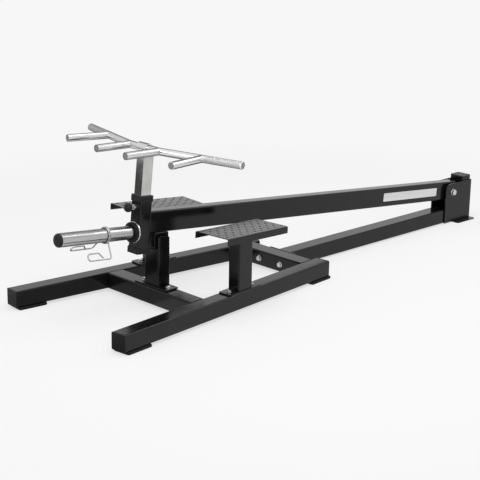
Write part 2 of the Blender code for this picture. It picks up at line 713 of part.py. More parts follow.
def add_pedestal(machine, front_cross):
    """Upright tube whose side walls end parallel to the arm, with a notch cut between them."""
    foot = BASE_PLATE_TOP + GAP
    crown = arm_underside(PEDESTAL_X) - PEDESTAL_CLEAR
    floor = crown - NOTCH_DEPTH
    half = PEDESTAL_DEPTH / 2
    tall = crown + PEDESTAL_DEPTH - foot
    tube = tube_mesh("pedestal", PEDESTAL_DEPTH, PEDESTAL_WIDTH, PEDESTAL_WALL, TUBE_CORNER, tall)
    pedestal = add_part("pedestal", tube, PAINT, machine, (PEDESTAL_X, 0, foot + tall / 2))

    side_view = [(-half - GAP, foot - crown), (half + GAP, foot - crown)]
    for edge, start in ((1, 0), (-1, pi / 2)):
        corner_x = edge * (half - PEDESTAL_CORNER)
        corner_z = -edge * half * tan(ARM_SLOPE) - PEDESTAL_CORNER
        for step in range(5):
            angle = start + step / 4 * pi / 2
            side_view.append((corner_x + PEDESTAL_CORNER * cos(angle) + edge * GAP,
                              corner_z + PEDESTAL_CORNER * sin(angle)))
    profile = extruded_mesh("pedestal_profile", [side_view], 2 * PEDESTAL_WIDTH)
    combine(pedestal, add_cutter("pedestal_profile", profile, machine, (PEDESTAL_X, 0, crown), ALONG_Y),
            'INTERSECT')
    notch_width = PEDESTAL_WIDTH - 2 * (PEDESTAL_WALL + NOTCH_LIP)
    notch = box_mesh("pedestal_notch", (2 * PEDESTAL_DEPTH, notch_width, 2 * NOTCH_DEPTH))
    combine(pedestal, add_cutter("pedestal_notch", notch, machine, (PEDESTAL_X, 0, floor + NOTCH_DEPTH)))

    pad_top = add_cradle_pad(machine, floor, notch_width)
    holes = [circle(BOLT_RADIUS + BORE_PLAY, (0, side * PEDESTAL_BOLT_Y)) for name, side in SIDES]
    outline = rounded_rectangle(PEDESTAL_PLATE_LENGTH, PEDESTAL_PLATE_WIDTH, PLATE_CORNER)
    plate = extruded_mesh("pedestal_base_plate", [outline] + holes, PLATE)
    add_part("pedestal_base_plate", plate, PAINT, machine,
             (PEDESTAL_PLATE_X, 0, BASE_PLATE_BOTTOM + PLATE / 2))
    places = [Matrix.Translation((0, side * PEDESTAL_BOLT_Y, 0)) for name, side in SIDES]
    for side_name, side in SIDES:
        name = "pedestal_bolt_" + side_name
        bolt = bolt_mesh(name, BOLT_RADIUS, BOLT_LENGTH, BOLT_FLATS, BOLT_HEAD, WASHER_RADIUS)
        add_part(name, bolt, ZINC, machine, (PEDESTAL_PLATE_X, side * PEDESTAL_BOLT_Y, BASE_PLATE_TOP + GAP))
    drill = cylinder_mesh("cross_holes", BOLT_RADIUS + BORE_PLAY, 4 * TUBE_WALL, 16)
    combine(front_cross, add_cutter("cross_holes", repeated_mesh("cross_holes", drill, places), machine,
                                    (PEDESTAL_PLATE_X, 0, RAIL_TOP)))
    return pad_top


def add_cradle_pad(machine, floor, notch_width):
    """Rubber pad over the notch floor, plugged into the tube. Returns the height of its top."""
    width = notch_width - 4 * PLUG_PLAY
    outline = rounded_rectangle(PEDESTAL_DEPTH + 2 * CRADLE_LIP, width, CRADLE_CORNER)
    sheet = extruded_mesh("cradle_pad", [outline], CRADLE_PAD)
    plug_size = (PEDESTAL_DEPTH - 2 * (PEDESTAL_WALL + PLUG_PLAY), width, CRADLE_PLUG + CRADLE_PAD / 2)
    plug = box_mesh("cradle_pad", plug_size)
    mesh = united_mesh("cradle_pad", [
        (sheet, Matrix.Translation((0, 0, CRADLE_PAD / 2))),
        (plug, Matrix.Translation((0, 0, (CRADLE_PAD / 2 - CRADLE_PLUG) / 2)))])
    add_part("cradle_pad", mesh, RUBBER, machine, (PEDESTAL_X, 0, floor + GAP))
    return floor + GAP + CRADLE_PAD


def channel_outline(width, depth, sheet, bend):
    """Section of a sheet with both long edges folded down, its top face at y = 0."""
    points = []
    for edge, start in ((-1, pi), (1, pi / 2)):
        centre_x = edge * (width / 2 - bend)
        if edge < 0:
            points.append((-width / 2, -depth))
        for step in range(5):
            angle = start - step / 4 * pi / 2
            points.append((centre_x + bend * cos(angle), -bend + bend * sin(angle)))
    points.append((width / 2, -depth))
    inner = bend - sheet
    for edge, start in ((1, 0), (-1, pi / 2)):
        centre_x = edge * (width / 2 - bend)
        if edge > 0:
            points.append((width / 2 - sheet, -depth))
        for step in range(3):
            angle = start + step / 2 * pi / 2
            points.append((centre_x + inner * cos(angle), -bend + inner * sin(angle)))
    points.append((sheet - width / 2, -depth))
    return points


def lozenges_mesh(name):
    """The tread's pattern on a plate's top at z = 0: low lozenges in rows, turned by turns to both diagonals."""
    shape = bmesh.new()
    bmesh.ops.create_cone(shape, cap_ends=True, segments=4, radius1=0.5, radius2=LOZENGE_TAPER / 2, depth=1)
    lozenge = mesh_from(name, shape)
    lozenge.transform(Matrix.Diagonal((LOZENGE_LENGTH, LOZENGE_WIDTH, LOZENGE_HEIGHT + LOZENGE_SINK, 1)))
    columns = int((FOOTPLATE_LENGTH / 2 - TREAD_MARGIN) / LOZENGE_PITCH)
    rows = int((FOOTPLATE_WIDTH / 2 - TREAD_MARGIN) / LOZENGE_PITCH)
    places = []
    for column in range(-columns, columns + 1):
        for row in range(-rows, rows + 1):
            diagonal = pi / 4 if (column + row) % 2 else -pi / 4
            place = Matrix.Translation((column * LOZENGE_PITCH, row * LOZENGE_PITCH,
                                        (LOZENGE_HEIGHT - LOZENGE_SINK) / 2))
            places.append(place @ Matrix.Rotation(diagonal, 4, 'Z'))
    return repeated_mesh(name, lozenge, places)


def add_footplate(side_name, side, rail_line):
    """Footplate on its post: the post's top plate is pitched with it and welded on."""
    inward = -side * FOOTPLATE_INWARD
    tread_line = add_axis("tread_line_" + side_name, rail_line, (FOOTPLATE_AT, inward, FOOTPLATE_TOP),
                          (0, FOOTPLATE_PITCH, 0))
    section = channel_outline(FOOTPLATE_WIDTH, FOOTPLATE_FLANGE, FOOTPLATE_SHEET, FOOTPLATE_BEND)
    footplate = add_part("footplate_" + side_name, extruded_mesh("footplate", [section], FOOTPLATE_LENGTH), TREAD,
                         tread_line, (0, 0, 0), ALONG_X)
    combine(footplate, add_cutter("lozenges_" + side_name, lozenges_mesh("lozenges"), tread_line), 'UNION')

    post_name = "foot_post_" + side_name
    foot = BASE_PLATE_TOP + GAP
    tall = FOOTPLATE_TOP - foot
    tube = tube_mesh(post_name, FOOT_POST_LENGTH, FOOT_POST_WIDTH, TUBE_WALL, TUBE_CORNER, tall)
    post = add_part(post_name, tube, PAINT, rail_line, (FOOT_POST_AT, 0, foot + tall / 2))
    plate_z = -FOOTPLATE_SHEET - GAP - PLATE / 2
    over_post = FOOT_POST_AT - FOOTPLATE_AT
    clear = box_mesh("post_top_cut", (3 * FOOT_POST_LENGTH, 3 * FOOT_POST_WIDTH, FOOT_POST_LENGTH))
    combine(post, add_cutter("post_top_cut_" + side_name, clear, tread_line,
                             (over_post, -inward, plate_z + FOOT_POST_LENGTH / 2)))
    top_plate = extruded_mesh("top_plate", [rounded_rectangle(FOOT_TOP_LENGTH, FOOT_TOP_WIDTH, PLATE_CORNER)],
                              PLATE)
    combine(post, add_cutter("top_plate_" + side_name, top_plate, tread_line, (over_post, -inward, plate_z)),
            'UNION')

    base_name = "foot_post_base_" + side_name
    holes = [circle(BOLT_RADIUS + BORE_PLAY, (end * FOOT_BOLT_SPACING / 2, 0)) for end in (-1, 1)]
    outline = rounded_rectangle(FOOT_BASE_LENGTH, FOOT_BASE_WIDTH, PLATE_CORNER)
    add_part(base_name, extruded_mesh(base_name, [outline] + holes, PLATE), PAINT, rail_line,
             (FOOT_POST_AT, 0, BASE_PLATE_BOTTOM + PLATE / 2))
    for end_name, end in (("front", -1), ("rear", 1)):
        name = "foot_post_bolt_" + end_name + "_" + side_name
        bolt = bolt_mesh(name, BOLT_RADIUS, BOLT_LENGTH, BOLT_FLATS, BOLT_HEAD, WASHER_RADIUS)
        add_part(name, bolt, ZINC, rail_line,
                 (FOOT_POST_AT + end * FOOT_BOLT_SPACING / 2, 0, BASE_PLATE_TOP + GAP))


# Lever arm

def add_arm(arm_axis, pad_top):
    length = ARM_FRONT + ARM_TAIL - ARM_CAP - GAP
    tube = tube_mesh("lever_arm", ARM_WIDTH, ARM_HEIGHT, TUBE_WALL, TUBE_CORNER, length)
    arm = add_part("lever_arm", tube, PAINT, arm_axis, (length / 2 - ARM_FRONT, 0, ARM_RISE), ALONG_X)
    bore = cylinder_mesh("arm_bore", PIVOT_SLEEVE_RADIUS + BORE_PLAY, 2 * ARM_WIDTH, 32)
    combine(arm, add_cutter("arm_bore", bore, arm_axis, (0, 0, 0), ALONG_Y))
    cap = end_cap_mesh("arm_rear_cap", ARM_WIDTH, ARM_HEIGHT, TUBE_WALL, ARM_CAP, TUBE_CORNER)
    cap.transform(Matrix.Rotation(pi / 2, 4, 'Y') @ Matrix.Rotation(pi / 2, 4, 'Z'))
    add_part("arm_rear_cap", cap, PLASTIC, arm_axis, (ARM_TAIL - ARM_CAP, 0, ARM_RISE))
    add_rest_block(arm_axis, pad_top)


def add_rest_block(arm_axis, pad_top):
    """Block under the arm: its top follows the arm, its foot sits level on the cradle pad."""
    outline = []
    for x, z in ((REST_BLOCK_FRONT, pad_top + GAP), (REST_BLOCK_REAR, pad_top + GAP),
                 (REST_BLOCK_REAR, arm_underside(REST_BLOCK_REAR) - GAP),
                 (REST_BLOCK_FRONT, arm_underside(REST_BLOCK_FRONT) - GAP)):
        outline.append(from_arm(x, z))
    mesh = extruded_mesh("arm_rest_block", [outline], ARM_WIDTH)
    block = add_part("arm_rest_block", mesh, PAINT, arm_axis, (0, 0, 0), ALONG_Y)
    add_bevel(block, REST_BLOCK_EDGE, 2)


def add_pivot_sleeve(arm_axis):
    """Sleeve across the arm with a bush on each end, filling the space between the cheeks."""
    reach = POST_WIDTH / 2
    width = reach - ARM_WIDTH / 2 - GAP
    sleeve = cylinder_mesh("pivot_sleeve", PIVOT_SLEEVE_RADIUS, 2 * reach, 32)
    bush = cylinder_mesh("pivot_sleeve", BUSH_RADIUS, width, 32)
    shapes = [(sleeve, Matrix.Identity(4))]
    shapes += [(bush, Matrix.Translation((0, 0, side * (reach - width / 2)))) for name, side in SIDES]
    part = add_part("pivot_sleeve", united_mesh("pivot_sleeve", shapes), ZINC, arm_axis, (0, 0, 0), ALONG_Y)
    bore = cylinder_mesh("pivot_bore", PIVOT_BOLT_RADIUS + BORE_PLAY, 3 * reach, 24)
    combine(part, add_cutter("pivot_bore", bore, arm_axis, (0, 0, 0), ALONG_Y))


def cup_mesh(name, mast_hole):
    """Square plastic cup over the socket's end, facing +Z, its mouth at z = 0."""
    tall = COLLAR_SKIRT + COLLAR_LID
    pocket_width = SOCKET_WIDTH + 2 * GAP
    body = extruded_mesh(name, [rounded_rectangle(COLLAR_WIDTH, COLLAR_WIDTH, COLLAR_CORNER)], tall)
    pocket = extruded_mesh(name, [rounded_rectangle(pocket_width, pocket_width, SOCKET_CORNER + GAP)], tall)
    shapes = [(body, Matrix.Translation((0, 0, tall / 2))),
              (pocket, Matrix.Translation((0, 0, COLLAR_SKIRT - tall / 2)))]
    if mast_hole:
        hole_width = MAST_WIDTH + 2 * MAST_PLAY
        hole = extruded_mesh(name, [rounded_rectangle(hole_width, hole_width, MAST_CORNER)], 4 * tall)
        shapes.append((hole, Matrix.Identity(4)))
    return carved_mesh(name, shapes)


def add_socket(arm_axis):
    """Square socket that guides the mast, in axes whose Z runs up the mast."""
    socket_line = add_axis("socket_line", arm_axis, (-MAST_REACH, 0, ARM_RISE))
    length = SOCKET_TOP + SOCKET_BOTTOM
    tube = tube_mesh("mast_socket", SOCKET_WIDTH, SOCKET_WIDTH, SOCKET_WALL, SOCKET_CORNER, length)
    socket = add_part("mast_socket", tube, PAINT, socket_line, (0, 0, SOCKET_TOP - length / 2))
    drill = cylinder_mesh("socket_pin_hole", PIN_RADIUS + BORE_PLAY, 4 * SOCKET_WALL, 16)
    combine(socket, add_cutter("socket_pin_hole", drill, socket_line,
                               (-SOCKET_WIDTH / 2, 0, PIN_HEIGHT), HEAD_TO_FRONT))
    collar = cup_mesh("socket_top_collar", True)
    add_part("socket_top_collar", collar, PLASTIC, socket_line, (0, 0, SOCKET_TOP - COLLAR_SKIRT + GAP))
    cup = cup_mesh("socket_bottom_cap", False)
    cup.transform(Matrix.Rotation(pi, 4, 'Y'))
    add_part("socket_bottom_cap", cup, PLASTIC, socket_line, (0, 0, COLLAR_SKIRT - SOCKET_BOTTOM - GAP))
    return socket_line


def add_weight_sleeve(socket_line):
    """Flange, rubber ring, sleeve and end cap, in axes whose Z runs forward along the sleeve."""
    sleeve_line = add_axis("sleeve_line", socket_line, (0, 0, -SLEEVE_DROP), HEAD_TO_FRONT)
    face = SOCKET_WIDTH / 2 + GAP
    bore = SLEEVE_RADIUS + BORE_PLAY
    flange = ring_mesh("sleeve_flange", STOP_FLANGE_RADIUS, bore, STOP_FLANGE, 40)
    add_part("sleeve_flange", flange, ZINC, sleeve_line, (0, 0, face + STOP_FLANGE / 2), smooth=True)
    ring = ring_mesh("sleeve_stop_ring", STOP_RING_RADIUS, bore, STOP_RING, 40)
    add_part("sleeve_stop_ring", ring, RUBBER, sleeve_line,
             (0, 0, face + STOP_FLANGE + GAP + STOP_RING / 2), smooth=True)
    tube_end = SLEEVE_END - SLEEVE_CAP - GAP
    tube = ring_mesh("weight_sleeve", SLEEVE_RADIUS, SLEEVE_RADIUS - SLEEVE_WALL, tube_end - face, 40)
    add_part("weight_sleeve", tube, CHROME, sleeve_line, (0, 0, (face + tube_end) / 2), smooth=True)
    profile = [(0, SLEEVE_CAP)]
    for step in range(1, 5):
        angle = step / 4 * pi / 2
        profile.append((SLEEVE_RADIUS - SLEEVE_CAP_ROUND * (1 - sin(angle)),
                        SLEEVE_CAP - SLEEVE_CAP_ROUND * (1 - cos(angle))))
    plug = SLEEVE_RADIUS - SLEEVE_WALL - PLUG_PLAY
    profile += [(SLEEVE_RADIUS, 0), (plug, 0), (plug, -SLEEVE_PLUG), (0, -SLEEVE_PLUG)]
    cap = turned_mesh("sleeve_end_cap", profile, 40)
    add_part("sleeve_end_cap", cap, PLASTIC, sleeve_line, (0, 0, tube_end + GAP), smooth=True)


def add_pin(socket_line):
    """Barrel on the socket, and the pull pin shown drawn out of the mast."""
    face = SOCKET_WIDTH / 2 + GAP
    barrel = ring_mesh("pin_barrel", PIN_BARREL_RADIUS, PIN_RADIUS + BORE_PLAY, PIN_BARREL_LENGTH, 24)
    add_part("pin_barrel", barrel, ZINC, socket_line,
             (-face - PIN_BARREL_LENGTH / 2, 0, PIN_HEIGHT), HEAD_TO_FRONT, smooth=True)
    pin_axis = add_axis("pull_pin_axis", socket_line, (0, 0, PIN_HEIGHT), HEAD_TO_FRONT)
    tip = MAST_WIDTH / 2 + 2 * MAST_PLAY
    knob_back = face + PIN_BARREL_LENGTH + PIN_TRAVEL + GAP
    stem_end = knob_back + KNOB_BORE
    pin = cylinder_mesh("pull_pin", PIN_RADIUS, stem_end - tip, 16)
    add_part("pull_pin", pin, ZINC, pin_axis, (0, 0, (tip + stem_end) / 2), smooth=True)
    add_knob(pin_axis, knob_back)


def add_knob(pin_axis, back):
    """Mushroom knob with a blind bore for the pin."""
    bore = PIN_RADIUS + BORE_PLAY
    profile = [(0, KNOB_LENGTH)]
    for step in range(1, 7):
        angle = step / 6 * pi * 0.62
        profile.append((KNOB_RADIUS * sin(angle), KNOB_LENGTH - KNOB_RADIUS * (1 - cos(angle)) * 0.9))
    profile += [(KNOB_NECK, KNOB_COLLAR), (KNOB_NECK, 0), (bore, 0), (bore, KNOB_BORE + GAP), (0, KNOB_BORE + GAP)]
    knob = turned_mesh("pull_knob", profile, 24)
    add_part("pull_knob", knob, PLASTIC, pin_axis, (0, 0, back), smooth=True)


# Spring collar

def wire_leg(angle, start):
    """Corners of one wire leg: out from the coil, forward, and folded back into a finger loop."""
    outward = Vector((-cos(angle), sin(angle), 0))
    forward = Vector((0, 0, 1))
    inner = LEG_OUT - LEG_LOOP
    corners = [outward * COIL_RADIUS]
    corners.append(outward * LEG_OUT)
    corners.append(outward * LEG_OUT + forward * LEG_FORWARD)
    corners.append(outward * inner + forward * LEG_FORWARD)
    corners.append(outward * inner + forward * (LEG_FORWARD - LEG_RETURN))
    corners.append(outward * (LEG_OUT - 2 * WIRE_RADIUS - 0.001) + forward * (LEG_FORWARD - LEG_TIP))
    return [corner + forward * start for corner in corners]


def spring_points():
    """The wire's middle line: leg, two turns and a bit round the sleeve, leg."""
    first, last = (radians(degrees) for degrees in LEG_ANGLES)
    sweep = 2 * pi * COIL_FULL_TURNS + (last - first)
    rise = COIL_PITCH * sweep / (2 * pi)
    count = round(COIL_POINTS * sweep / (2 * pi))
    coil = []
    for step in range(count + 1):
        share = step / count
        angle = first + LEG_LEAD + (sweep - 2 * LEG_LEAD) * share
        height = rise * (share - 0.5)
        coil.append(Vector((-COIL_RADIUS * cos(angle), COIL_RADIUS * sin(angle), height)))
    front_leg = rounded_path([coil[-1]] + wire_leg(last, rise / 2), LEG_BENDS)
    rear_leg = rounded_path([coil[0]] + wire_leg(first, -rise / 2), LEG_BENDS)
    return rear_leg[:0:-1] + coil + front_leg[1:]


def least_gap(points, radius, apart):
    """Smallest space between a wire's surface and itself, for runs further apart along it."""
    fine = []
    for before, after in zip(points, points[1:]):
        pieces = max(1, round((after - before).length / radius))
        fine += [before.lerp(after, piece / pieces) for piece in range(pieces)]
    skip = round(apart / radius)
    return min((fine[i] - fine[j]).length for i in range(len(fine)) for j in range(i + skip, len(fine))) - 2 * radius


def add_spring_collar(socket_line):
    collar_axis = add_axis("spring_collar_axis", socket_line, (-COIL_AT, 0, -SLEEVE_DROP), HEAD_TO_FRONT)
    points = spring_points()
    print("spring collar, least gap to itself (mm):", round(least_gap(points, WIRE_RADIUS, 0.016) * 1000, 2))
    mesh = wire_mesh("spring_collar", points, WIRE_RADIUS, 1)
    add_part("spring_collar", mesh, CHROME, collar_axis, smooth=True)


# Mast and handle

def add_mast(socket_line):
    mast_axis = add_axis("mast_axis", socket_line, (0, 0, 0))
    length = MAST_TOP + MAST_BOTTOM
    tube = tube_mesh("mast_tube", MAST_WIDTH, MAST_WIDTH, MAST_WALL, MAST_CORNER, length)
    mast = add_part("mast_tube", tube, CHROME, mast_axis, (0, 0, MAST_TOP - length / 2))
    drill = cylinder_mesh("mast_pin_holes", PIN_RADIUS + BORE_PLAY, 3 * MAST_WALL, 16)
    drill.transform(Matrix.Rotation(-pi / 2, 4, 'Y'))
    places = [Matrix.Translation((0, 0, -hole * PIN_HOLE_PITCH)) for hole in range(PIN_HOLES)]
    combine(mast, add_cutter("mast_pin_holes", repeated_mesh("mast_pin_holes", drill, places), mast_axis,
                             (-MAST_WIDTH / 2, 0, PIN_HEIGHT)))
    return mast_axis


def bar_mesh(name, points, radius, wall, open_start):
    """A round tube along a line of points, its far end closed by a welded-in plug."""
    outside = wire_mesh(name, points, radius, 6)
    bore = list(points)
    start = -wall if open_start else PLUG_DEPTH
    bore[0] = points[0] + (points[1] - points[0]).normalized() * start
    bore[-1] = points[-1] + (points[-2] - points[-1]).normalized() * PLUG_DEPTH
    inside = wire_mesh(name, bore, radius - wall, 6)
    return carved_mesh(name, [(outside, Matrix.Identity(4)), (inside, Matrix.Identity(4))])


def bar_back(y):
    """How far the swept bar lies behind its straight middle at a distance from the centre."""
    return max(0.0, abs(y) - BAR_STRAIGHT) * tan(HANDLE_SWEEP)


def bar_path():
    corners = []
    for y in (-BAR_SPAN, -BAR_STRAIGHT, BAR_STRAIGHT, BAR_SPAN):
        corners.append(Vector((bar_back(y), y, 0)))
    return rounded_path(corners, (BAR_BEND, BAR_BEND), 3)


def add_handle(mast_axis):
    """Swept bar with four grips coped against its front, plugged at every end."""
    handle_line = add_axis("handle_line", mast_axis, (-HANDLE_FORWARD, 0, HANDLE_HEIGHT), (0, HANDLE_PITCH, 0))
    tube = bar_mesh("handle_bar", bar_path(), BAR_RADIUS, BAR_WALL, False)
    bar = add_part("handle_bar", tube, CHROME, handle_line, smooth=True)
    vent = cylinder_mesh("vent_hole", VENT_RADIUS, 2 * BAR_RADIUS, 12)
    combine(bar, add_cutter("vent_hole", vent, handle_line, (0, 0, -BAR_RADIUS)))
    grips = (("inner", INNER_GRIP_Y, INNER_GRIP_LENGTH, 0.0),
             ("outer", OUTER_GRIP_Y, OUTER_GRIP_LENGTH, OUTER_GRIP_ANGLE))
    for side_name, side in SIDES:
        for place, y, length, angle in grips:
            name = "grip_" + place + "_" + side_name
            root = Vector((bar_back(y), side * y, 0))
            tip = root + Vector((-cos(angle), side * sin(angle), 0)) * length
            tube = bar_mesh(name, [root, tip], BAR_RADIUS, BAR_WALL, True)
            grip = add_part(name, tube, CHROME, handle_line, smooth=True)
            envelope = wire_mesh(name + "_cope", bar_path(), BAR_RADIUS + GAP, 6)
            combine(grip, add_cutter(name + "_cope", envelope, handle_line))
    add_saddle(mast_axis)


def add_saddle(mast_axis):
    """Block on the mast's top that wraps the bar, in axes whose middle is the bar's."""
    drop = HANDLE_HEIGHT - MAST_TOP - GAP
    outer = BAR_RADIUS + SADDLE_WALL
    front, rear = (HANDLE_FORWARD + edge * MAST_WIDTH / 2 for edge in (-1, 1))
    points = [(front, -drop), (rear, -drop), (outer, -SADDLE_NECK)]
    for step in range(9):
        angle = step / 8 * pi
        points.append((outer * cos(angle), outer * sin(angle)))
    points.append((-outer, -SADDLE_NECK))
    hole = circle(BAR_RADIUS + BORE_PLAY, sides=32)
    mesh = extruded_mesh("handle_saddle", [points, hole], SADDLE_WIDTH)
    add_part("handle_saddle", mesh, CHROME, mast_axis, (-HANDLE_FORWARD, 0, HANDLE_HEIGHT), ALONG_Y)


def build_machine():
    machine = add_axis("machine", None, (-ORIGIN_X, 0, 0))
    rail_lines = {}
    for side_name, side in SIDES:
        rail_line = add_axis("rail_line_" + side_name, machine, (0, side * RAIL_SPREAD, 0),
                             (0, 0, -side * RAIL_SPLAY))
        rail_lines[side] = rail_line
        add_rail(side_name, side, rail_line)
        add_rail_caps(side_name, rail_line)
        add_foot_pads(side_name, rail_line)
        add_footplate(side_name, side, rail_line)
    front_cross = add_crossmember("front_crossmember", FRONT_CROSS_X, machine, rail_lines)
    rear_cross = add_crossmember("rear_crossmember", REAR_CROSS_X, machine, rail_lines)
    add_spine(machine, rear_cross)
    add_spine_bolts(machine)
    add_floor_plate(machine)
    add_post(machine)
    add_cheeks(machine)
    add_pivot_bolt(machine)
    pad_top = add_pedestal(machine, front_cross)

    arm_axis = add_axis("arm_axis", machine, (PIVOT_X, 0, PIVOT_Z), (0, ARM_SLOPE, 0))
    add_arm(arm_axis, pad_top)
    add_pivot_sleeve(arm_axis)
    socket_line = add_socket(arm_axis)
    add_weight_sleeve(socket_line)
    add_pin(socket_line)
    add_spring_collar(socket_line)
    mast_axis = add_mast(socket_line)
    add_handle(mast_axis)


clear_scene()
PARTS = new_collection("t_bar_row_machine")
CUTTERS = new_collection("cutters")
build_machine()
bpy.context.view_layer.update()
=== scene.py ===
# %% [markdown]
# # T-bar row machine
#
# A long black lever arm turns on a bolt at the rear and rests in a cradle at the front. Its tip carries a
# chrome sleeve for weight plates and a sliding mast with a handle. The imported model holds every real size
# and every joint, so this lesson only gives the surfaces their finish and the round pieces their fine mesh.

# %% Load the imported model
import json
from math import cos, pi, radians, sin, tan
import bmesh
import bpy
from mathutils import Matrix, Vector

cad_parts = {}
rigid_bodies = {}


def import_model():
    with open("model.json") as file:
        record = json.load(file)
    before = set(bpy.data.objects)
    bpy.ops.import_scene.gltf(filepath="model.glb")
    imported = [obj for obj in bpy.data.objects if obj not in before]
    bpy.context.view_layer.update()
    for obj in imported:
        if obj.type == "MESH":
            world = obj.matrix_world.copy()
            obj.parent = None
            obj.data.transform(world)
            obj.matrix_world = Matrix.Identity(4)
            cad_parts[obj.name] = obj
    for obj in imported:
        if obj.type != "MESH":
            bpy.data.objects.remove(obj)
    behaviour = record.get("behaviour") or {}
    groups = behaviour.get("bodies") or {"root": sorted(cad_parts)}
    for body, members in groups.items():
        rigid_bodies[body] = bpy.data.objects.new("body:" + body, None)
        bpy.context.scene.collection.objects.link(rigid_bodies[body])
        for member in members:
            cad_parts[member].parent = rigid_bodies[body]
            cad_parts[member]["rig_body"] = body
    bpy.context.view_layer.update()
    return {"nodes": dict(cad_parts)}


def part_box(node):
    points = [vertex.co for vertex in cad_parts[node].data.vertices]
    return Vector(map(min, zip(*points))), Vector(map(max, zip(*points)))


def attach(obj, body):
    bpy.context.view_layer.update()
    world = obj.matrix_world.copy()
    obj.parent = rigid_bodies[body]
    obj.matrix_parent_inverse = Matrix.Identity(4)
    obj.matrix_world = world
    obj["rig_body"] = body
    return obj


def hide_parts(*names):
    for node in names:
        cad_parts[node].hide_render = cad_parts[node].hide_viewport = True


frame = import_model()
nodes = frame["nodes"]
collection = bpy.context.scene.collection

# %% [markdown]
# ## The axes that pieces are set out from
#
# The machine is measured along a few lines: the arm leans 5.7 degrees, the mast stands square to it, the
# sleeve and the pull pin point forward along it, and the handle is pitched a little against it. A matrix for
# each line lets a piece be modelled upright at the origin and then be carried to its place in one move.

# %% Lines of the machine
ARM_SLOPE = radians(5.735)
FORWARD = Vector((-cos(ARM_SLOPE), 0, sin(ARM_SLOPE)))
UP_MAST = Vector((sin(ARM_SLOPE), 0, cos(ARM_SLOPE)))
UP = Vector((0, 0, 1))
PIVOT = Vector((1.021308, 0, 0.1446))
ARM_HALF_WIDTH = 0.025
ARM_RISE = 0.004            # the arm's centre line above the pivot
MAST = Vector((-0.788586, 0, 0.330388))
SLEEVE_DROP = 0.036
PIN_HEIGHT = 0.057
HANDLE_HEIGHT = 0.2713
HANDLE_AHEAD = 0.007
HANDLE_PITCH = ARM_SLOPE + radians(-3.5)
SIDES = (("left", -1), ("right", 1))
HAIRLINE = 0.0003           # the gap between pieces that sit against each other


def line(origin, along, up):
    """Matrix that carries a piece from the origin: its Z goes along, its X goes up."""
    z = Vector(along).normalized()
    x = Vector(up).normalized()
    turn = Matrix((x, z.cross(x), z)).transposed().to_4x4()
    return Matrix.Translation(origin) @ turn


sleeve_line = line(MAST - SLEEVE_DROP * UP_MAST, FORWARD, UP_MAST)
pin_line = line(MAST + PIN_HEIGHT * UP_MAST, FORWARD, UP_MAST)
handle_rear = Vector((cos(HANDLE_PITCH), 0, -sin(HANDLE_PITCH)))
handle_up = Vector((sin(HANDLE_PITCH), 0, cos(HANDLE_PITCH)))
handle_line = line(MAST + HANDLE_HEIGHT * UP_MAST + HANDLE_AHEAD * FORWARD, handle_up, handle_rear)
print("mast foot at", [round(v, 3) for v in MAST])
print("handle at", [round(v, 3) for v in handle_line.translation])

# %% [markdown]
# ## Camera
#
# A camera is a place, a direction and a lens. This one stands about 5 m away at the front left corner,
# a little above the machine, with a long lens, so the parallel tubes nearly stay parallel.

# %% Camera
CAMERA_PLACE = (-3.874181, -3.650660, 1.681032)
VIEW_ALONG = Vector((0.672444, 0.683413, -0.284193))
VIEW_UP = Vector((0.186576, 0.215053, 0.958614))
camera_data = bpy.data.cameras.new("camera")
camera_data.lens = 102.805
camera_data.sensor_width = 36
camera_data.clip_end = 100
camera = bpy.data.objects.new("camera", camera_data)
collection.objects.link(camera)
view_back = -VIEW_ALONG.normalized()
view_right = VIEW_UP.cross(view_back).normalized()
view_turn = Matrix((view_right, view_back.cross(view_right), view_back)).transposed().to_4x4()
camera.matrix_world = Matrix.Translation(CAMERA_PLACE) @ view_turn
bpy.context.scene.camera = camera
print("camera stands", round((camera.location - MAST).length, 2), "m from the mast")

# %% [markdown]
# ## A helper for materials
#
# A material is a small network of nodes, and by hand each link takes a line of its own. One helper adds a
# node, sets its options and fills its inputs. An input goes by its label, with _ for a space, or by its
# place as i0, i1 and so on where several inputs share a label.


# %% Node helper
def shader_nodes(material):
    """An empty node tree, and a function that adds a node and wires its inputs."""
    material.use_nodes = True
    tree = material.node_tree
    tree.nodes.clear()

    def add(kind, settings=None, **inputs):
        node = tree.nodes.new(kind)
        for key, value in (settings or {}).items():
            setattr(node, key, value)
        for key, value in inputs.items():
            by_place = key[0] == "i" and key[1:].isdigit()
            socket = node.inputs[int(key[1:]) if by_place else key.replace("_", " ")]
            if isinstance(value, bpy.types.NodeSocket):
                tree.links.new(value, socket)
            else:
                socket.default_value = value
        return node

    return add


# %% [markdown]
# ## Floor
#
# A studio sweep is one pale surface with no visible horizon. It could be a curved wall, but a wide flat disc
# does here: near the machine it is paper that takes the shadow, and with distance it passes into the even
# tone of the background. Much of that tone is mixed in near the machine too, which keeps the shadow faint.

# %% Floor
PAPER = (0.931, 0.931, 0.931, 1)
LIT_PAPER = (0.93, 0.93, 0.93, 1)
SHADOW_SHARE = 0.30
SHADOW_NEAR = 1.3
SHADOW_FAR = 2.6
FLOOR_RADIUS = 30
floor_shape = bmesh.new()
bmesh.ops.create_circle(floor_shape, cap_ends=True, segments=96, radius=FLOOR_RADIUS)
floor_mesh = bpy.data.meshes.new("floor")
floor_shape.to_mesh(floor_mesh)
floor_shape.free()
floor = bpy.data.objects.new("floor", floor_mesh)
collection.objects.link(floor)

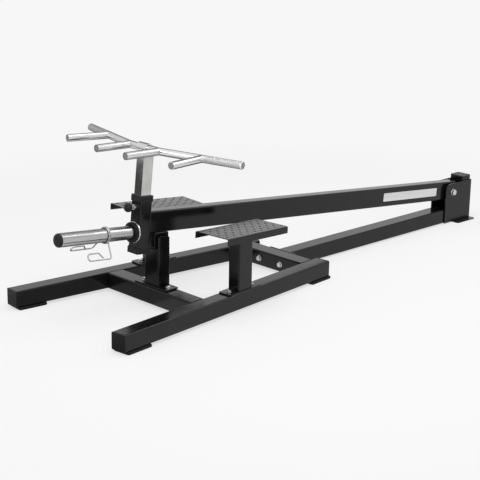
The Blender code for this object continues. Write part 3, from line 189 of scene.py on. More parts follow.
paper = bpy.data.materials.new("paper")
add = shader_nodes(paper)
place = add("ShaderNodeTexCoord").outputs["Object"]
distance = add("ShaderNodeVectorMath", {"operation": "LENGTH"}, i0=place).outputs["Value"]
far = add("ShaderNodeMapRange", {"interpolation_type": "SMOOTHSTEP"}, Value=distance, From_Min=SHADOW_NEAR,
          From_Max=SHADOW_FAR, To_Min=1 - SHADOW_SHARE, To_Max=1.0).outputs["Result"]
near_paper = add("ShaderNodeBsdfDiffuse", Color=LIT_PAPER).outputs[0]
far_paper = add("ShaderNodeEmission", Color=PAPER, Strength=1.0).outputs[0]
mixed = add("ShaderNodeMixShader", i0=far, i1=near_paper, i2=far_paper).outputs[0]
add("ShaderNodeOutputMaterial", Surface=mixed)
floor_mesh.materials.append(paper)
bpy.context.scene.view_settings.view_transform = "Standard"
print("floor radius", FLOOR_RADIUS, "m, shadow fades out from", SHADOW_NEAR, "to", SHADOW_FAR, "m")

# %% [markdown]
# ## Background
#
# The camera, mirrored rays and rays through glass meet the tone of the paper beyond the floor. All others
# meet a weaker white sky, the even fill light of a studio. Light Path tells the rays apart, so the picture's
# background never adds light to the machine.

# %% Background
FILL_LIGHT = 0.55
world = bpy.data.worlds.new("studio")
bpy.context.scene.world = world
add = shader_nodes(world)
rays = add("ShaderNodeLightPath").outputs
seen = add("ShaderNodeMath", {"operation": "MAXIMUM"}, i0=rays["Is Camera Ray"],
           i1=rays["Is Glossy Ray"]).outputs[0]
seen = add("ShaderNodeMath", {"operation": "MAXIMUM"}, i0=seen, i1=rays["Is Transmission Ray"]).outputs[0]
soft = add("ShaderNodeBackground", Color=(1, 1, 1, 1), Strength=FILL_LIGHT).outputs[0]
shown = add("ShaderNodeBackground", Color=PAPER, Strength=1.0).outputs[0]
sky = add("ShaderNodeMixShader", i0=seen, i1=soft, i2=shown).outputs[0]
add("ShaderNodeOutputWorld", Surface=sky)
print("background tone", PAPER[0])

# %% [markdown]
# ## Lamps
#
# Four soft lamps light the machine: a wide one overhead for the tops, one at the left and one at the front
# that open the sides, and a smaller one behind the machine that picks out the upper edges. Area lamps give
# the soft shadow of a studio's light boxes, which a sun or a point lamp wouldn't.


# %% Lamps
def add_lamp(name, place, target, size, power):
    """A square area lamp at a place, turned to shine on its target."""
    lamp_data = bpy.data.lights.new(name, "AREA")
    lamp_data.shape = "SQUARE"
    lamp_data.size = size
    lamp_data.energy = power
    lamp = bpy.data.objects.new(name, lamp_data)
    collection.objects.link(lamp)
    toward = Vector(target) - Vector(place)
    lamp.matrix_world = Matrix.Translation(place) @ toward.to_track_quat("-Z", "Y").to_matrix().to_4x4()


add_lamp("lamp_top", (-0.6, -0.6, 3.6), (-0.2, 0, 0.2), 2.8, 60)
add_lamp("lamp_left", (-2.4, -3.4, 2.2), (-0.3, 0, 0.3), 1.8, 20)
add_lamp("lamp_edge", (1.9, -1.0, 2.6), (-0.3, -0.2, 0.1), 1.1, 14)
add_lamp("lamp_front", (-4.2, 1.6, 2.2), (-0.5, 0, 0.3), 1.8, 13)
print(len(bpy.data.lights), "lamps")

# %% [markdown]
# ## Dark cards
#
# Chrome and gloss paint show only what stands round them. In a studio that is partly dark: black card, the
# room, the photographer's own corner. Five grey cards glow with a set tone that only mirrored rays can meet,
# so they are painted reflections. The two that stand up stand in for that dark room. The three that lie on
# the floor under the machine are painted shade, standing in for the shadow there. They give the metal its
# dark lines and the black paint its depth, and cast no shadow.

# %% Dark cards
CARD_LIFT = 0.003           # a card that lies on the floor stands this much above it


def add_card(name, centre, facing, size, tones):
    """A glowing card of painted reflection, its tone set from its lower to its upper edge. Only mirrored rays
    meet it.
    """
    width, height = size
    low, high = tones
    shape = bmesh.new()
    bmesh.ops.create_grid(shape, x_segments=1, y_segments=1, size=0.5)
    bmesh.ops.scale(shape, vec=(width, height, 1), verts=shape.verts)
    mesh = bpy.data.meshes.new(name)
    shape.to_mesh(mesh)
    shape.free()
    card = bpy.data.objects.new(name, mesh)
    collection.objects.link(card)
    turn = Vector(facing).to_track_quat("Z", "Y").to_matrix().to_4x4()
    card.matrix_world = Matrix.Translation(centre) @ turn
    card.visible_camera = False
    card.visible_shadow = False
    card.visible_diffuse = False
    dark = bpy.data.materials.new(name)
    add = shader_nodes(dark)
    place = add("ShaderNodeTexCoord").outputs["Object"]
    rise = add("ShaderNodeSeparateXYZ", Vector=place).outputs["Y"]
    shade = add("ShaderNodeMapRange", Value=rise, From_Min=-height / 2, From_Max=height / 2, To_Min=low,
                To_Max=high).outputs["Result"]
    tone = add("ShaderNodeEmission", Color=(1, 1, 1, 1), Strength=shade).outputs[0]
    add("ShaderNodeOutputMaterial", Surface=tone)
    mesh.materials.append(dark)


# Two standing cards glow as a painted reflection of a dark room; the front one is painted darker towards its
# foot.
add_card("card_front", (-2.2, 1.9, 0.15), (0.65, -0.75, 0.1), (1.6, 0.36), (0.015, 0.15))
add_card("card_above", (1.65, 2.17, 2.85), (-0.6, -0.54, -0.59), (3.2, 0.65), (0.12, 0.12))
# Three cards lying on the floor glow dark as painted shade, for the floor in the machine's shadow.
add_card("shade_card_inside", (-1.0, 0.25, CARD_LIFT), UP, (0.5, 0.5), (0.4, 0.4))
add_card("shade_card_beyond", (-1.5, 0.74, CARD_LIFT), UP, (0.5, 0.44), (0.05, 0.05))
add_card("shade_card_end", (-1.27, -0.3, CARD_LIFT), UP, (0.24, 0.3), (0.25, 0.25))

# %% [markdown]
# ## Finishes
#
# A finish is more than a colour. Powder coat has a fine orange peel and patches that are a little duller,
# chrome is bright with faint streaks from polishing, zinc is greyer and mottled, plastic has a grain and
# rubber is dull with pale dust. Each one is mixed from noise on the piece's own coordinates, at real scale.
# A photograph of each surface would fix one size and one light, and noise fits any piece.

# %% A finish from noise
PATCHES_FROM = 0.3          # the middle of the noise, where its values really lie
PATCHES_TO = 0.7


def new_finish(name, dark, light, roughness, patch_size, grain_size, grain_depth, metallic=0.0, gloss=0.5,
               stretch=(1, 1, 1), turn=0.0, rim=1.0):
    """Principled finish: patches vary colour and roughness, a fine grain lifts the surface."""
    finish = bpy.data.materials.new(name)
    add = shader_nodes(finish)
    place = add("ShaderNodeTexCoord").outputs["Object"]
    place = add("ShaderNodeMapping", {"vector_type": "TEXTURE"}, Vector=place, Rotation=(0, turn, 0),
                Scale=stretch).outputs[0]
    patches = add("ShaderNodeTexNoise", Vector=place, Scale=1 / patch_size, Detail=4.0,
                  Roughness=0.6).outputs["Fac"]
    spread = add("ShaderNodeMapRange", Value=patches, From_Min=PATCHES_FROM,
                 From_Max=PATCHES_TO).outputs["Result"]
    colour = add("ShaderNodeMix", {"data_type": "RGBA"}, i0=spread, i6=(*dark, 1), i7=(*light, 1)).outputs[2]
    dullness = add("ShaderNodeMapRange", Value=patches, From_Min=PATCHES_FROM, From_Max=PATCHES_TO,
                   To_Min=roughness[0], To_Max=roughness[1]).outputs["Result"]
    grain = add("ShaderNodeTexNoise", Vector=place, Scale=1 / grain_size, Detail=2.0).outputs["Fac"]
    lifted = add("ShaderNodeBump", Strength=1.0, Distance=grain_depth, Height=grain).outputs[0]
    # A rim below 1 tints the reflection at grazing edges dark: a painted reflection of a dark room.
    shader = add("ShaderNodeBsdfPrincipled", Base_Color=colour, Roughness=dullness, Metallic=metallic,
                 Normal=lifted, Specular_IOR_Level=gloss, Specular_Tint=(rim, rim, rim, 1))
    add("ShaderNodeOutputMaterial", Surface=shader.outputs[0])
    return finish


# %% [markdown]
# ### Metals
#
# Most bare metal here has one of four skins: bright chrome on the handle, duller chrome on the sleeve and the
# wire, darker chrome on the mast, and grey zinc on bolts and pins. Polishing leaves faint streaks along the
# sleeve and the grips, so their noise is drawn out along the arm's slope. A rim below 1 is a painted
# reflection: it darkens the edge of a round bar, where the dark walls of a room would be mirrored.

# %% Metals
# How dark the painted reflection at a bar's edge is, for chrome and for satin chrome.
CHROME_PAINTED_RIM = 0.1
SATIN_PAINTED_RIM = 0.3
chrome = new_finish("chrome_plate", dark=(0.66, 0.66, 0.665), light=(0.76, 0.76, 0.765),
                    roughness=(0.11, 0.14), patch_size=0.010, grain_size=0.004, grain_depth=0.000001,
                    metallic=1, stretch=(12, 1, 1), turn=ARM_SLOPE, rim=CHROME_PAINTED_RIM)
satin_chrome = new_finish("satin_chrome", dark=(0.38, 0.38, 0.385), light=(0.50, 0.50, 0.505),
                          roughness=(0.22, 0.26), patch_size=0.006, grain_size=0.003,
                          grain_depth=0.000002, metallic=1, stretch=(30, 1, 1), turn=ARM_SLOPE,
                          rim=SATIN_PAINTED_RIM)
mast_chrome = new_finish("mast_chrome", dark=(0.42, 0.415, 0.40), light=(0.56, 0.555, 0.54),
                         roughness=(0.06, 0.12), patch_size=0.05, grain_size=0.003, grain_depth=0.00001,
                         metallic=1)
zinc = new_finish("bright_zinc", dark=(0.50, 0.50, 0.51), light=(0.66, 0.66, 0.67),
                  roughness=(0.20, 0.38), patch_size=0.006, grain_size=0.0012, grain_depth=0.00002,
                  metallic=1)
print("metals:", [finish.name for finish in (chrome, satin_chrome, mast_chrome, zinc)])

# %% [markdown]
# ### Paint, plastic and rubber
#
# Nothing here is pure black. Powder coat is the darkest and the smoothest. The tread plates' upward faces
# take a lighter, glossier copy of the same black coat, a painted sheen of grazing light. Caps and knob are a
# satin plastic and the pads are dull rubber. The plugs in the handle are grey.

# %% Paint, plastic and rubber
paint = new_finish("black_powder_coat", dark=(0.0045, 0.0045, 0.005), light=(0.0075, 0.0075, 0.008),
                   roughness=(0.12, 0.20), patch_size=0.11, grain_size=0.0016, grain_depth=0.000012,
                   gloss=0.26)
# The same black coat, lighter and glossier: a painted sheen for the tread's upward faces, which grazing light
# makes pale.
tread_top_sheen = new_finish("tread_top_painted_sheen", dark=(0.024, 0.024, 0.0245), light=(0.034, 0.034, 0.0345),
                        roughness=(0.24, 0.32), patch_size=0.05, grain_size=0.0012, grain_depth=0.00003,
                        gloss=1.0)
plastic = new_finish("moulded_plastic", dark=(0.005, 0.005, 0.0055), light=(0.009, 0.009, 0.0095),
                     roughness=(0.34, 0.46), patch_size=0.012, grain_size=0.0007, grain_depth=0.00003,
                     gloss=0.26)
rubber = new_finish("matt_rubber", dark=(0.006, 0.006, 0.006), light=(0.013, 0.013, 0.0125),
                    roughness=(0.65, 0.85), patch_size=0.018, grain_size=0.0009, grain_depth=0.00005,
                    gloss=0.2)
plug_grey = new_finish("grey_plug", dark=(0.17, 0.17, 0.175), light=(0.25, 0.25, 0.255),
                       roughness=(0.40, 0.55), patch_size=0.008, grain_size=0.0006, grain_depth=0.00003)
print("others:", [finish.name for finish in (paint, tread_top_sheen, plastic, rubber, plug_grey)])

# %% [markdown]
# ## Welded and moulded pieces
#
# Square tube, plates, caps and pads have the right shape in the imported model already, but its mesh is loose
# triangles with hard edges. A merged copy of each one gets a small round on its cut edges, which is where
# paint and plastic catch the light, and normals that keep the flats flat. The copy then stands for the node.

# %% Round the edges of a copy
SHARP_ANGLE = 38            # degrees between faces, past which an edge is a real one
WELD_DISTANCE = 0.00002
SPIN_WELD = 0.000005
FLAT_ANGLE = radians(0.5)


def dress_node(name, finish, edge):
    """A merged copy of a node with rounded edges, which then stands for the node."""
    shape = bmesh.new()
    shape.from_mesh(nodes[name].data)
    bmesh.ops.remove_doubles(shape, verts=shape.verts, dist=WELD_DISTANCE)
    bmesh.ops.dissolve_limit(shape, angle_limit=FLAT_ANGLE, verts=shape.verts, edges=shape.edges)
    mesh = bpy.data.meshes.new(name + "_dressed")
    shape.to_mesh(mesh)
    shape.free()
    for old in ("custom_normal", "sharp_edge", "sharp_face"):
        if old in mesh.attributes:
            mesh.attributes.remove(mesh.attributes[old])
    mesh.shade_smooth()
    mesh.set_sharp_from_angle(angle=radians(SHARP_ANGLE))
    piece = bpy.data.objects.new(name + "_dressed", mesh)
    collection.objects.link(piece)
    mesh.materials.clear()
    mesh.materials.append(finish)
    rounding = piece.modifiers.new("edge", "BEVEL")
    rounding.width = edge
    rounding.segments = 2
    rounding.limit_method = "ANGLE"
    rounding.angle_limit = radians(SHARP_ANGLE)
    flats = piece.modifiers.new("flats", "WEIGHTED_NORMAL")
    flats.keep_sharp = True
    flats.weight = 60
    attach(piece, nodes[name]["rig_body"])
    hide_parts(name)


print("an edge is a real one past", SHARP_ANGLE, "degrees")

# %% Painted, moulded and rubber pieces
PAINTED_EDGE = 0.0008
MOULDED_EDGE = 0.0014
RUBBER_EDGE = 0.0016
both_sides = [side for side, sign in SIDES]
corners = [end + "_" + side for end in ("front", "rear") for side in both_sides]
painted = ["front_crossmember", "rear_crossmember", "spine_tube", "spine_flange", "pivot_post",
           "rear_foot_plate", "pedestal", "pedestal_base_plate", "lever_arm", "arm_rest_block", "mast_socket"]
painted += [stem + "_" + side for side in both_sides
            for stem in ("side_rail", "cheek_plate", "foot_post", "foot_post_base")]
moulded = ["post_cap", "arm_rear_cap", "socket_top_collar", "socket_bottom_cap"]
moulded += ["rail_end_cap_" + corner for corner in corners]
pads = ["cradle_pad"] + ["foot_pad_" + corner for corner in corners]
for name in painted:
    dress_node(name, paint, PAINTED_EDGE)
for name in moulded:
    dress_node(name, plastic, MOULDED_EDGE)
for name in pads:
    dress_node(name, rubber, RUBBER_EDGE)
dress_node("mast_tube", mast_chrome, PAINTED_EDGE)
dress_node("handle_saddle", chrome, PAINTED_EDGE)
print(len(painted), "painted,", len(moulded), "moulded,", len(pads), "rubber pieces")

# %% [markdown]
# ## Turned pieces
#
# The sleeve, its cap, the stop ring, the knob and the pin are round, so each is half an outline spun about
# its axis. Spinning keeps every corner of the outline true, and enough steps make the highlight smooth.


# %% Spin an outline
def carried(shape, matrix):
    """Moves a whole bmesh by a matrix."""
    bmesh.ops.transform(shape, matrix=matrix, verts=shape.verts)
    return shape


def turned(outline, matrix, steps=64):
    """A bmesh of (radius, height) points spun about Z and carried to its place."""
    shape = bmesh.new()
    points = [shape.verts.new((radius, 0, height)) for radius, height in outline]
    edges = [shape.edges.new(pair) for pair in zip(points, points[1:])]
    bmesh.ops.spin(shape, geom=points + edges, cent=(0, 0, 0), axis=(0, 0, 1), angle=2 * pi, steps=steps,
                   use_merge=True, use_duplicate=False)
    bmesh.ops.remove_doubles(shape, verts=shape.verts, dist=SPIN_WELD)
    bmesh.ops.recalc_face_normals(shape, faces=shape.faces)
    return carried(shape, matrix)


def ring_outline(outer, bore, low, high, edge):
    """Section of a ring with cut corners, ready to spin."""
    return [(bore, low + edge), (bore + edge, low), (outer - edge, low), (outer, low + edge),
            (outer, high - edge), (outer - edge, high), (bore + edge, high), (bore, high - edge),
            (bore, low + edge)]


# %% Make a bmesh a piece
def joined(shapes):
    """One bmesh that holds several."""
    whole = bmesh.new()
    for shape in shapes:
        passing = bpy.data.meshes.new("passing")
        shape.to_mesh(passing)
        shape.free()
        whole.from_mesh(passing)
        bpy.data.meshes.remove(passing)
    return whole


def finish_piece(name, shape, body, finish, stands_for=(), sharp=SHARP_ANGLE):
    """Makes the bmesh an object that rides on a body."""
    mesh = bpy.data.meshes.new(name)
    shape.to_mesh(mesh)
    shape.free()
    mesh.materials.append(finish)
    mesh.shade_smooth()
    mesh.set_sharp_from_angle(angle=radians(sharp))
    piece = bpy.data.objects.new(name, mesh)
    collection.objects.link(piece)
    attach(piece, body)
    if stands_for:
        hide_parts(*stands_for)
    return piece


def turned_piece(name, outline, matrix, body, finish, stands_for=()):
    """A piece that is nothing but one spun outline."""
    finish_piece(name, turned(outline, matrix), body, finish, stands_for)


# %% [markdown]
# ## Sleeve, stop and end cap
#
# Plates slide over the sleeve, a chromed tube, until they meet a rubber ring on a steel flange. A plastic
# cap with a round shoulder closes the tip. All four are rings or discs on one axis, so each is an outline
# with its corners cut, and the cap's shoulder is a quarter circle of points.

# %% Sleeve and stop
SLEEVE_RADIUS = 0.025
SLEEVE_BORE = 0.022
SLEEVE_START = 0.0273
SLEEVE_TUBE_END = 0.3643
STOP_BORE = 0.0255
FLANGE_RADIUS = 0.039
FLANGE_END = 0.0333
RING_RADIUS = 0.0375
RING_END = 0.0446
SLEEVE_CHAMFER = 0.0007
FLANGE_CHAMFER = 0.0012
RING_CHAMFER = 0.0022
sleeve_outline = ring_outline(SLEEVE_RADIUS, SLEEVE_BORE, SLEEVE_START, SLEEVE_TUBE_END, SLEEVE_CHAMFER)
turned_piece("sleeve_tube_turned", sleeve_outline, sleeve_line, "arm", satin_chrome,
             ["weight_sleeve"])
flange_outline = ring_outline(FLANGE_RADIUS, STOP_BORE, SLEEVE_START, FLANGE_END, FLANGE_CHAMFER)
turned_piece("stop_flange_turned", flange_outline, sleeve_line, "arm", zinc, ["sleeve_flange"])
stop_outline = ring_outline(RING_RADIUS, STOP_BORE, FLANGE_END + HAIRLINE, RING_END, RING_CHAMFER)
turned_piece("stop_ring_turned", stop_outline, sleeve_line, "arm", rubber, ["sleeve_stop_ring"])
print("sleeve runs from", SLEEVE_START, "to", SLEEVE_TUBE_END, "m ahead of the mast")

# %% End cap
CAP_ROUND = 0.008
CAP_STEPS = 8
CAP_LENGTH = 0.0098
CAP_PLUG_DEPTH = 0.014
CAP_TIP = SLEEVE_TUBE_END + CAP_LENGTH
CAP_SEAT = SLEEVE_TUBE_END + HAIRLINE
CAP_PLUG_RADIUS = 0.0215
CAP_PLUG_END = SLEEVE_TUBE_END - CAP_PLUG_DEPTH
cap_outline = [(0, CAP_TIP)]
for step in range(1, CAP_STEPS + 1):
    angle = step / CAP_STEPS * pi / 2
    cap_outline.append((SLEEVE_RADIUS - CAP_ROUND * (1 - sin(angle)),
                        CAP_TIP - CAP_ROUND * (1 - cos(angle))))
cap_outline += [(SLEEVE_RADIUS, CAP_SEAT), (CAP_PLUG_RADIUS, CAP_SEAT), (CAP_PLUG_RADIUS, CAP_PLUG_END),
                (0, CAP_PLUG_END)]
turned_piece("sleeve_cap_turned", cap_outline, sleeve_line, "arm", plastic,
             ["sleeve_end_cap"])
print("cap ends", round(CAP_TIP, 4), "m ahead of the mast")

# %% [markdown]
# ## Pull pin
#
# A spring pin holds the mast at its height: a steel pin slides in a short barrel on the socket, and a round
# plastic knob is pressed on its end. The knob's outline is an arc that goes past its widest place and comes
# back in to the neck, which a plain sphere wouldn't give.

# %% Pull pin
PIN_RADIUS = 0.004
PIN_BORE = 0.0045
PIN_TIP = 0.0235
PIN_END = 0.0672
BARREL_RADIUS = 0.010
BARREL_START = 0.0273
BARREL_LENGTH = 0.013
BARREL_CHAMFER = 0.001
PIN_CHAMFER = 0.001
PIN_LEAD = 0.0012           # the length of the tapered tip, which finds the hole
barrel_outline = ring_outline(BARREL_RADIUS, PIN_BORE, BARREL_START, BARREL_START + BARREL_LENGTH,
                              BARREL_CHAMFER)
turned_piece("pin_barrel_turned", barrel_outline, pin_line, "arm", zinc, ["pin_barrel"])
pin_outline = [(0, PIN_TIP), (PIN_RADIUS - PIN_CHAMFER, PIN_TIP), (PIN_RADIUS, PIN_TIP + PIN_LEAD),
               (PIN_RADIUS, PIN_END), (0, PIN_END)]
turned_piece("pull_pin_turned", pin_outline, pin_line, "pull_pin", zinc, ["pull_pin"])
print("pin", round(1000 * (PIN_END - PIN_TIP), 1), "mm long")

# %% Knob
KNOB_BACK = 0.0506
KNOB_RADIUS = 0.017
KNOB_LENGTH = 0.028
KNOB_FLATNESS = 0.9
KNOB_WRAP = 0.62 * pi       # how far the arc goes round from the tip
KNOB_STEPS = 16
KNOB_NECK = [(0.0106, 0.004), (0.0100, 0.001), (0.0094, 0)]
KNOB_SOCKET = 0.0171
knob_outline = [(0, KNOB_BACK + KNOB_LENGTH)]
for step in range(1, KNOB_STEPS + 1):
    angle = step / KNOB_STEPS * KNOB_WRAP
    knob_outline.append((KNOB_RADIUS * sin(angle),
                         KNOB_BACK + KNOB_LENGTH - KNOB_FLATNESS * KNOB_RADIUS * (1 - cos(angle))))
knob_outline += [(radius, KNOB_BACK + height) for radius, height in
                 KNOB_NECK + [(PIN_BORE, 0), (PIN_BORE, KNOB_SOCKET), (0, KNOB_SOCKET)]]
turned_piece("pull_knob_turned", knob_outline, pin_line, "pull_pin", plastic, ["pull_knob"])
print("knob", round(2000 * KNOB_RADIUS), "mm across")

# %% [markdown]
# ## Pivot sleeve
#
# The arm turns on a steel sleeve round the pivot bolt, with a thick flange at each side of the arm that
# keeps it clear of the cheek plates. Only the flanges show. One half of the outline is listed, and the
# other is its mirror image.

# %% Pivot sleeve
BUSH_BORE = 0.0085
BUSH_WAIST = 0.015
BUSH_FLANGE = 0.022
BUSH_HALF_LENGTH = 0.035
BUSH_CHAMFER = 0.001
bush_half = [(BUSH_WAIST, ARM_HALF_WIDTH + HAIRLINE), (BUSH_FLANGE, ARM_HALF_WIDTH + HAIRLINE),
             (BUSH_FLANGE, BUSH_HALF_LENGTH - BUSH_CHAMFER), (BUSH_FLANGE - BUSH_CHAMFER, BUSH_HALF_LENGTH),
             (BUSH_BORE, BUSH_HALF_LENGTH)]
bush_outline = [(radius, -height) for radius, height in reversed(bush_half)] + bush_half
bush_outline.append(bush_outline[0])
across_line = line(PIVOT, (0, 1, 0), (1, 0, 0))
turned_piece("pivot_sleeve_turned", bush_outline, across_line, "arm", zinc, ["pivot_sleeve"])
print("pivot sleeve", round(2000 * BUSH_HALF_LENGTH), "mm long")

# %% [markdown]
# ## Bolts
#
# A hex head has its corners turned off at the top, stands on a washer and shows a short end of thread past
# its nut. A six sided cone shape gives the hexagon, and insetting its top face makes the turned chamfer.

# %% Hexagons and bolts
ROOT_THREE = 1.7320508
WASHER = 0.002
WASHER_CHAMFER = 0.0004
HEX_INSET = 0.09            # of the width across flats, turned off at the top
HEX_DROP = 0.05             # of that width, by which the corners drop
HEAD_SINK = 0.0001          # the head's foot lies in the washer, so no light shows between them
WASHER_STEPS = 40
SHANK_STEPS = 32
BLIND_SHANK = 0.020
THREAD_SHOWN = 0.003
THREAD_CHAMFER = 0.001


def hexagon(flats, low, high, matrix):
    """A hexagon across its flats, with the rim of its top face cut away."""
    shape = bmesh.new()
    bmesh.ops.create_cone(shape, cap_ends=True, segments=6, radius1=flats / ROOT_THREE,
                          radius2=flats / ROOT_THREE, depth=high - low)
    top = max(shape.faces, key=lambda face: face.calc_center_median().z)
    bmesh.ops.inset_region(shape, faces=[top], thickness=HEX_INSET * flats, depth=0)
    bmesh.ops.translate(shape, verts=shape.verts, vec=(0, 0, (low + high) / 2))
    for vert in shape.verts:
        if vert not in top.verts and vert.co.z > high - 0.00001:
            vert.co.z -= HEX_DROP * flats
    return carried(shape, matrix)


def bolt(matrix, radius, flats, head, washer_radius, grip=None, nut=0):
    """Washer, head, shank, and for a through bolt its nut and the thread past it."""
    shank_end = -(grip + nut + THREAD_SHOWN) if grip else -BLIND_SHANK
    shank = [(0, WASHER), (radius, WASHER), (radius, shank_end + THREAD_CHAMFER),
             (radius - THREAD_CHAMFER, shank_end), (0, shank_end)]
    washer = ring_outline(washer_radius, radius + HAIRLINE, 0, WASHER, WASHER_CHAMFER)
    shapes = [turned(washer, matrix, WASHER_STEPS),
              hexagon(flats, WASHER - HEAD_SINK, WASHER + head, matrix),
              turned(shank, matrix, SHANK_STEPS)]
    if grip:
        flip = matrix @ Matrix.Translation((0, 0, -grip)) @ Matrix.Rotation(pi, 4, "X")
        shapes.append(hexagon(flats, 0, nut, flip))
    return joined(shapes)


def bolt_piece(name, shape, node):
    """A bolt or nut of the frame. Its small chamfers stay crisp."""
    finish_piece(name, shape, "frame", zinc, [node], sharp=30)


print("washers", 1000 * WASHER, "mm thick")

# %% [markdown]
# ## Bolts of the frame
#
# Bolts stand upright on the base plates of the pedestal and the foot posts, and two long ones go through the
# rear crossmember and the spine's flange. Their places needn't be written down again: each one is read from
# the box of the bolt that it stands for.

# %% Frame bolts
FRAME_BOLT = dict(radius=0.005, flats=0.016, head=0.0065, washer_radius=0.0105)
SPINE_BOLT = dict(radius=0.006, flats=0.018, head=0.0075, washer_radius=0.012, grip=0.0779, nut=0.010)
upright_bolts = ["pedestal_bolt_" + side for side in both_sides]
upright_bolts += ["foot_post_bolt_" + corner for corner in corners]
for name in upright_bolts:
    low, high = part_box(name)
    seat = Vector(((low.x + high.x) / 2, (low.y + high.y) / 2, high.z - FRAME_BOLT["head"] - WASHER))
    bolt_piece(name + "_turned", bolt(Matrix.Translation(seat), **FRAME_BOLT), name)
for name in ["spine_bolt_" + side for side in both_sides]:
    low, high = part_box(name)
    seat = Vector((low.x + SPINE_BOLT["head"] + WASHER, (low.y + high.y) / 2, (low.z + high.z) / 2))
    bolt_piece(name + "_turned", bolt(line(seat, (-1, 0, 0), UP), **SPINE_BOLT), name)
print(len(upright_bolts) + 2, "frame bolts")

# %% [markdown]
# ## Pivot bolt and nut
#
# The arm's bolt goes through both cheek plates, with its head and a washer at the left and its nut at the
# right. Only its ends show, so the head needs a short shank, and the nut's mesh brings the shank behind the
# nut and the thread that shows past it.

# %% Pivot bolt and nut
PIVOT_BOLT = dict(radius=0.008, flats=0.024, head=0.010, washer_radius=0.015)
PIVOT_SEAT = 0.0416
PIVOT_NUT = 0.013
PIVOT_THREAD_END = 0.0155
PIVOT_SHANK = 0.09
pivot_bolt_line = line(PIVOT - Vector((0, PIVOT_SEAT, 0)), (0, -1, 0), UP)
bolt_piece("pivot_bolt_turned", bolt(pivot_bolt_line, **PIVOT_BOLT), "pivot_bolt")
nut_line = line(PIVOT + Vector((0, PIVOT_SEAT, 0)), (0, 1, 0), UP)
thread = [(0, PIVOT_THREAD_END), (PIVOT_BOLT["radius"] - THREAD_CHAMFER, PIVOT_THREAD_END),
          (PIVOT_BOLT["radius"], PIVOT_THREAD_END - THREAD_CHAMFER), (PIVOT_BOLT["radius"], -PIVOT_SHANK),
          (0, -PIVOT_SHANK)]
nut_shape = joined([hexagon(PIVOT_BOLT["flats"], 0, PIVOT_NUT, nut_line),
                    turned(thread, nut_line, SHANK_STEPS)])
bolt_piece("pivot_nut_turned", nut_shape, "pivot_nut")
print("pivot bolt", round(2000 * PIVOT_BOLT["radius"]), "mm thick")

# %% [markdown]
# ## Bent bars and wire
#
# The handle's bar, its grips and the spring collar are one round section that follows a line. A curve with a
# bevel could do it, but its ends are plain discs. Here a circle is extruded from point to point, and at each
# point the new ring turns with the line, so it never twists and both end faces can be worked on.


# %% Sweep a round section
def add_swept(shape, points, radius, sides=24):
    """Extrudes a capped circle along points. Returns the faces at its start and its end."""
    headings = []
    for index in range(len(points)):
        before = points[max(index - 1, 0)]
        after = points[min(index + 1, len(points) - 1)]
        headings.append((after - before).normalized())
    to_start = Matrix.Translation(points[0]) @ headings[0].to_track_quat("Z", "Y").to_matrix().to_4x4()
    ring = bmesh.ops.create_circle(shape, cap_ends=True, segments=sides, radius=radius,
                                   matrix=to_start)["verts"]
    first_face = ring[0].link_faces[0]
    edges = list(first_face.edges)
    for index in range(1, len(points)):
        made = bmesh.ops.extrude_edge_only(shape, edges=edges)["geom"]
        ring = [item for item in made if isinstance(item, bmesh.types.BMVert)]
        edges = [item for item in made if isinstance(item, bmesh.types.BMEdge)
                 and all(vert in ring for vert in item.verts)]
        turn = headings[index - 1].rotation_difference(headings[index]).to_matrix()
        bmesh.ops.rotate(shape, verts=ring, cent=points[index - 1], matrix=turn)
        bmesh.ops.translate(shape, verts=ring, vec=points[index] - points[index - 1])
    last_face = bmesh.ops.contextual_create(shape, geom=edges)["faces"][0]
    bmesh.ops.recalc_face_normals(shape, faces=shape.faces)
    return first_face, last_face


# %% Round the corners of a line
def rounded_path(corners, radii, steps=8):
    """Points along a bent bar: straight runs, with an arc of its own radius at each inner corner."""
    points = [corners[0]]
    for before, corner, after, radius in zip(corners, corners[1:], corners[2:], radii):
        inward = (before - corner).normalized()
        outward = (after - corner).normalized()
        half = inward.angle(outward) / 2
        centre = corner + (inward + outward).normalized() * (radius / sin(half))
        start = corner + inward * (radius / tan(half)) - centre
        end = corner + outward * (radius / tan(half)) - centre
        turn = start.angle(end)
        for step in range(steps + 1):
            share = step / steps
            arm = start * sin((1 - share) * turn) + end * sin(share * turn)
            points.append(centre + arm / sin(turn))
    points.append(corners[-1])
    return points


# %% [markdown]
# ### Ends of the tubes
#
# Each end of the handle is a cut tube with a plug in it: a chamfered rim round a shallow recess. Three insets
# of the sweep's end face make it, the first raised, the second level and the third sunk. The sweep starts
# that much shorter, so the raised rim ends at the true length.

# %% Tube ends
RIM_CHAMFER = 0.0006
RIM = 0.0014
RECESS = 0.0016
RECESS_DRAFT = 0.0002


def open_end(shape, face):
    """Turns a closed bar's end face into a chamfered rim round a shallow recess."""
    for thickness, depth in ((RIM_CHAMFER, RIM_CHAMFER), (RIM, 0), (RECESS_DRAFT, -RECESS)):
        bmesh.ops.inset_region(shape, faces=[face], thickness=thickness, depth=depth)


def pulled_in(points, at_start, at_end):
    """The same line with room at its ends for the chamfers."""
    points = list(points)
    if at_start:
        points[0] = points[0] + RIM_CHAMFER * (points[1] - points[0]).normalized()
    if at_end:
        points[-1] = points[-1] + RIM_CHAMFER * (points[-2] - points[-1]).normalized()
    return points


print("tube ends: a rim of", 1000 * RIM, "mm round a recess of", 1000 * RECESS, "mm")

# %% [markdown]
# ### Knurled wings
#
# The widest hold on the handle is knurled: two sets of fine spiral grooves that cross to small diamonds. The
# grooves are too fine to model one by one, so they are a bump from two crossing waves. The same waves paint
# the grooves darker than the crests, a painted shade. The waves need the angle round the bar, so a Mapping
# node first brings the bar's own axis to Z.

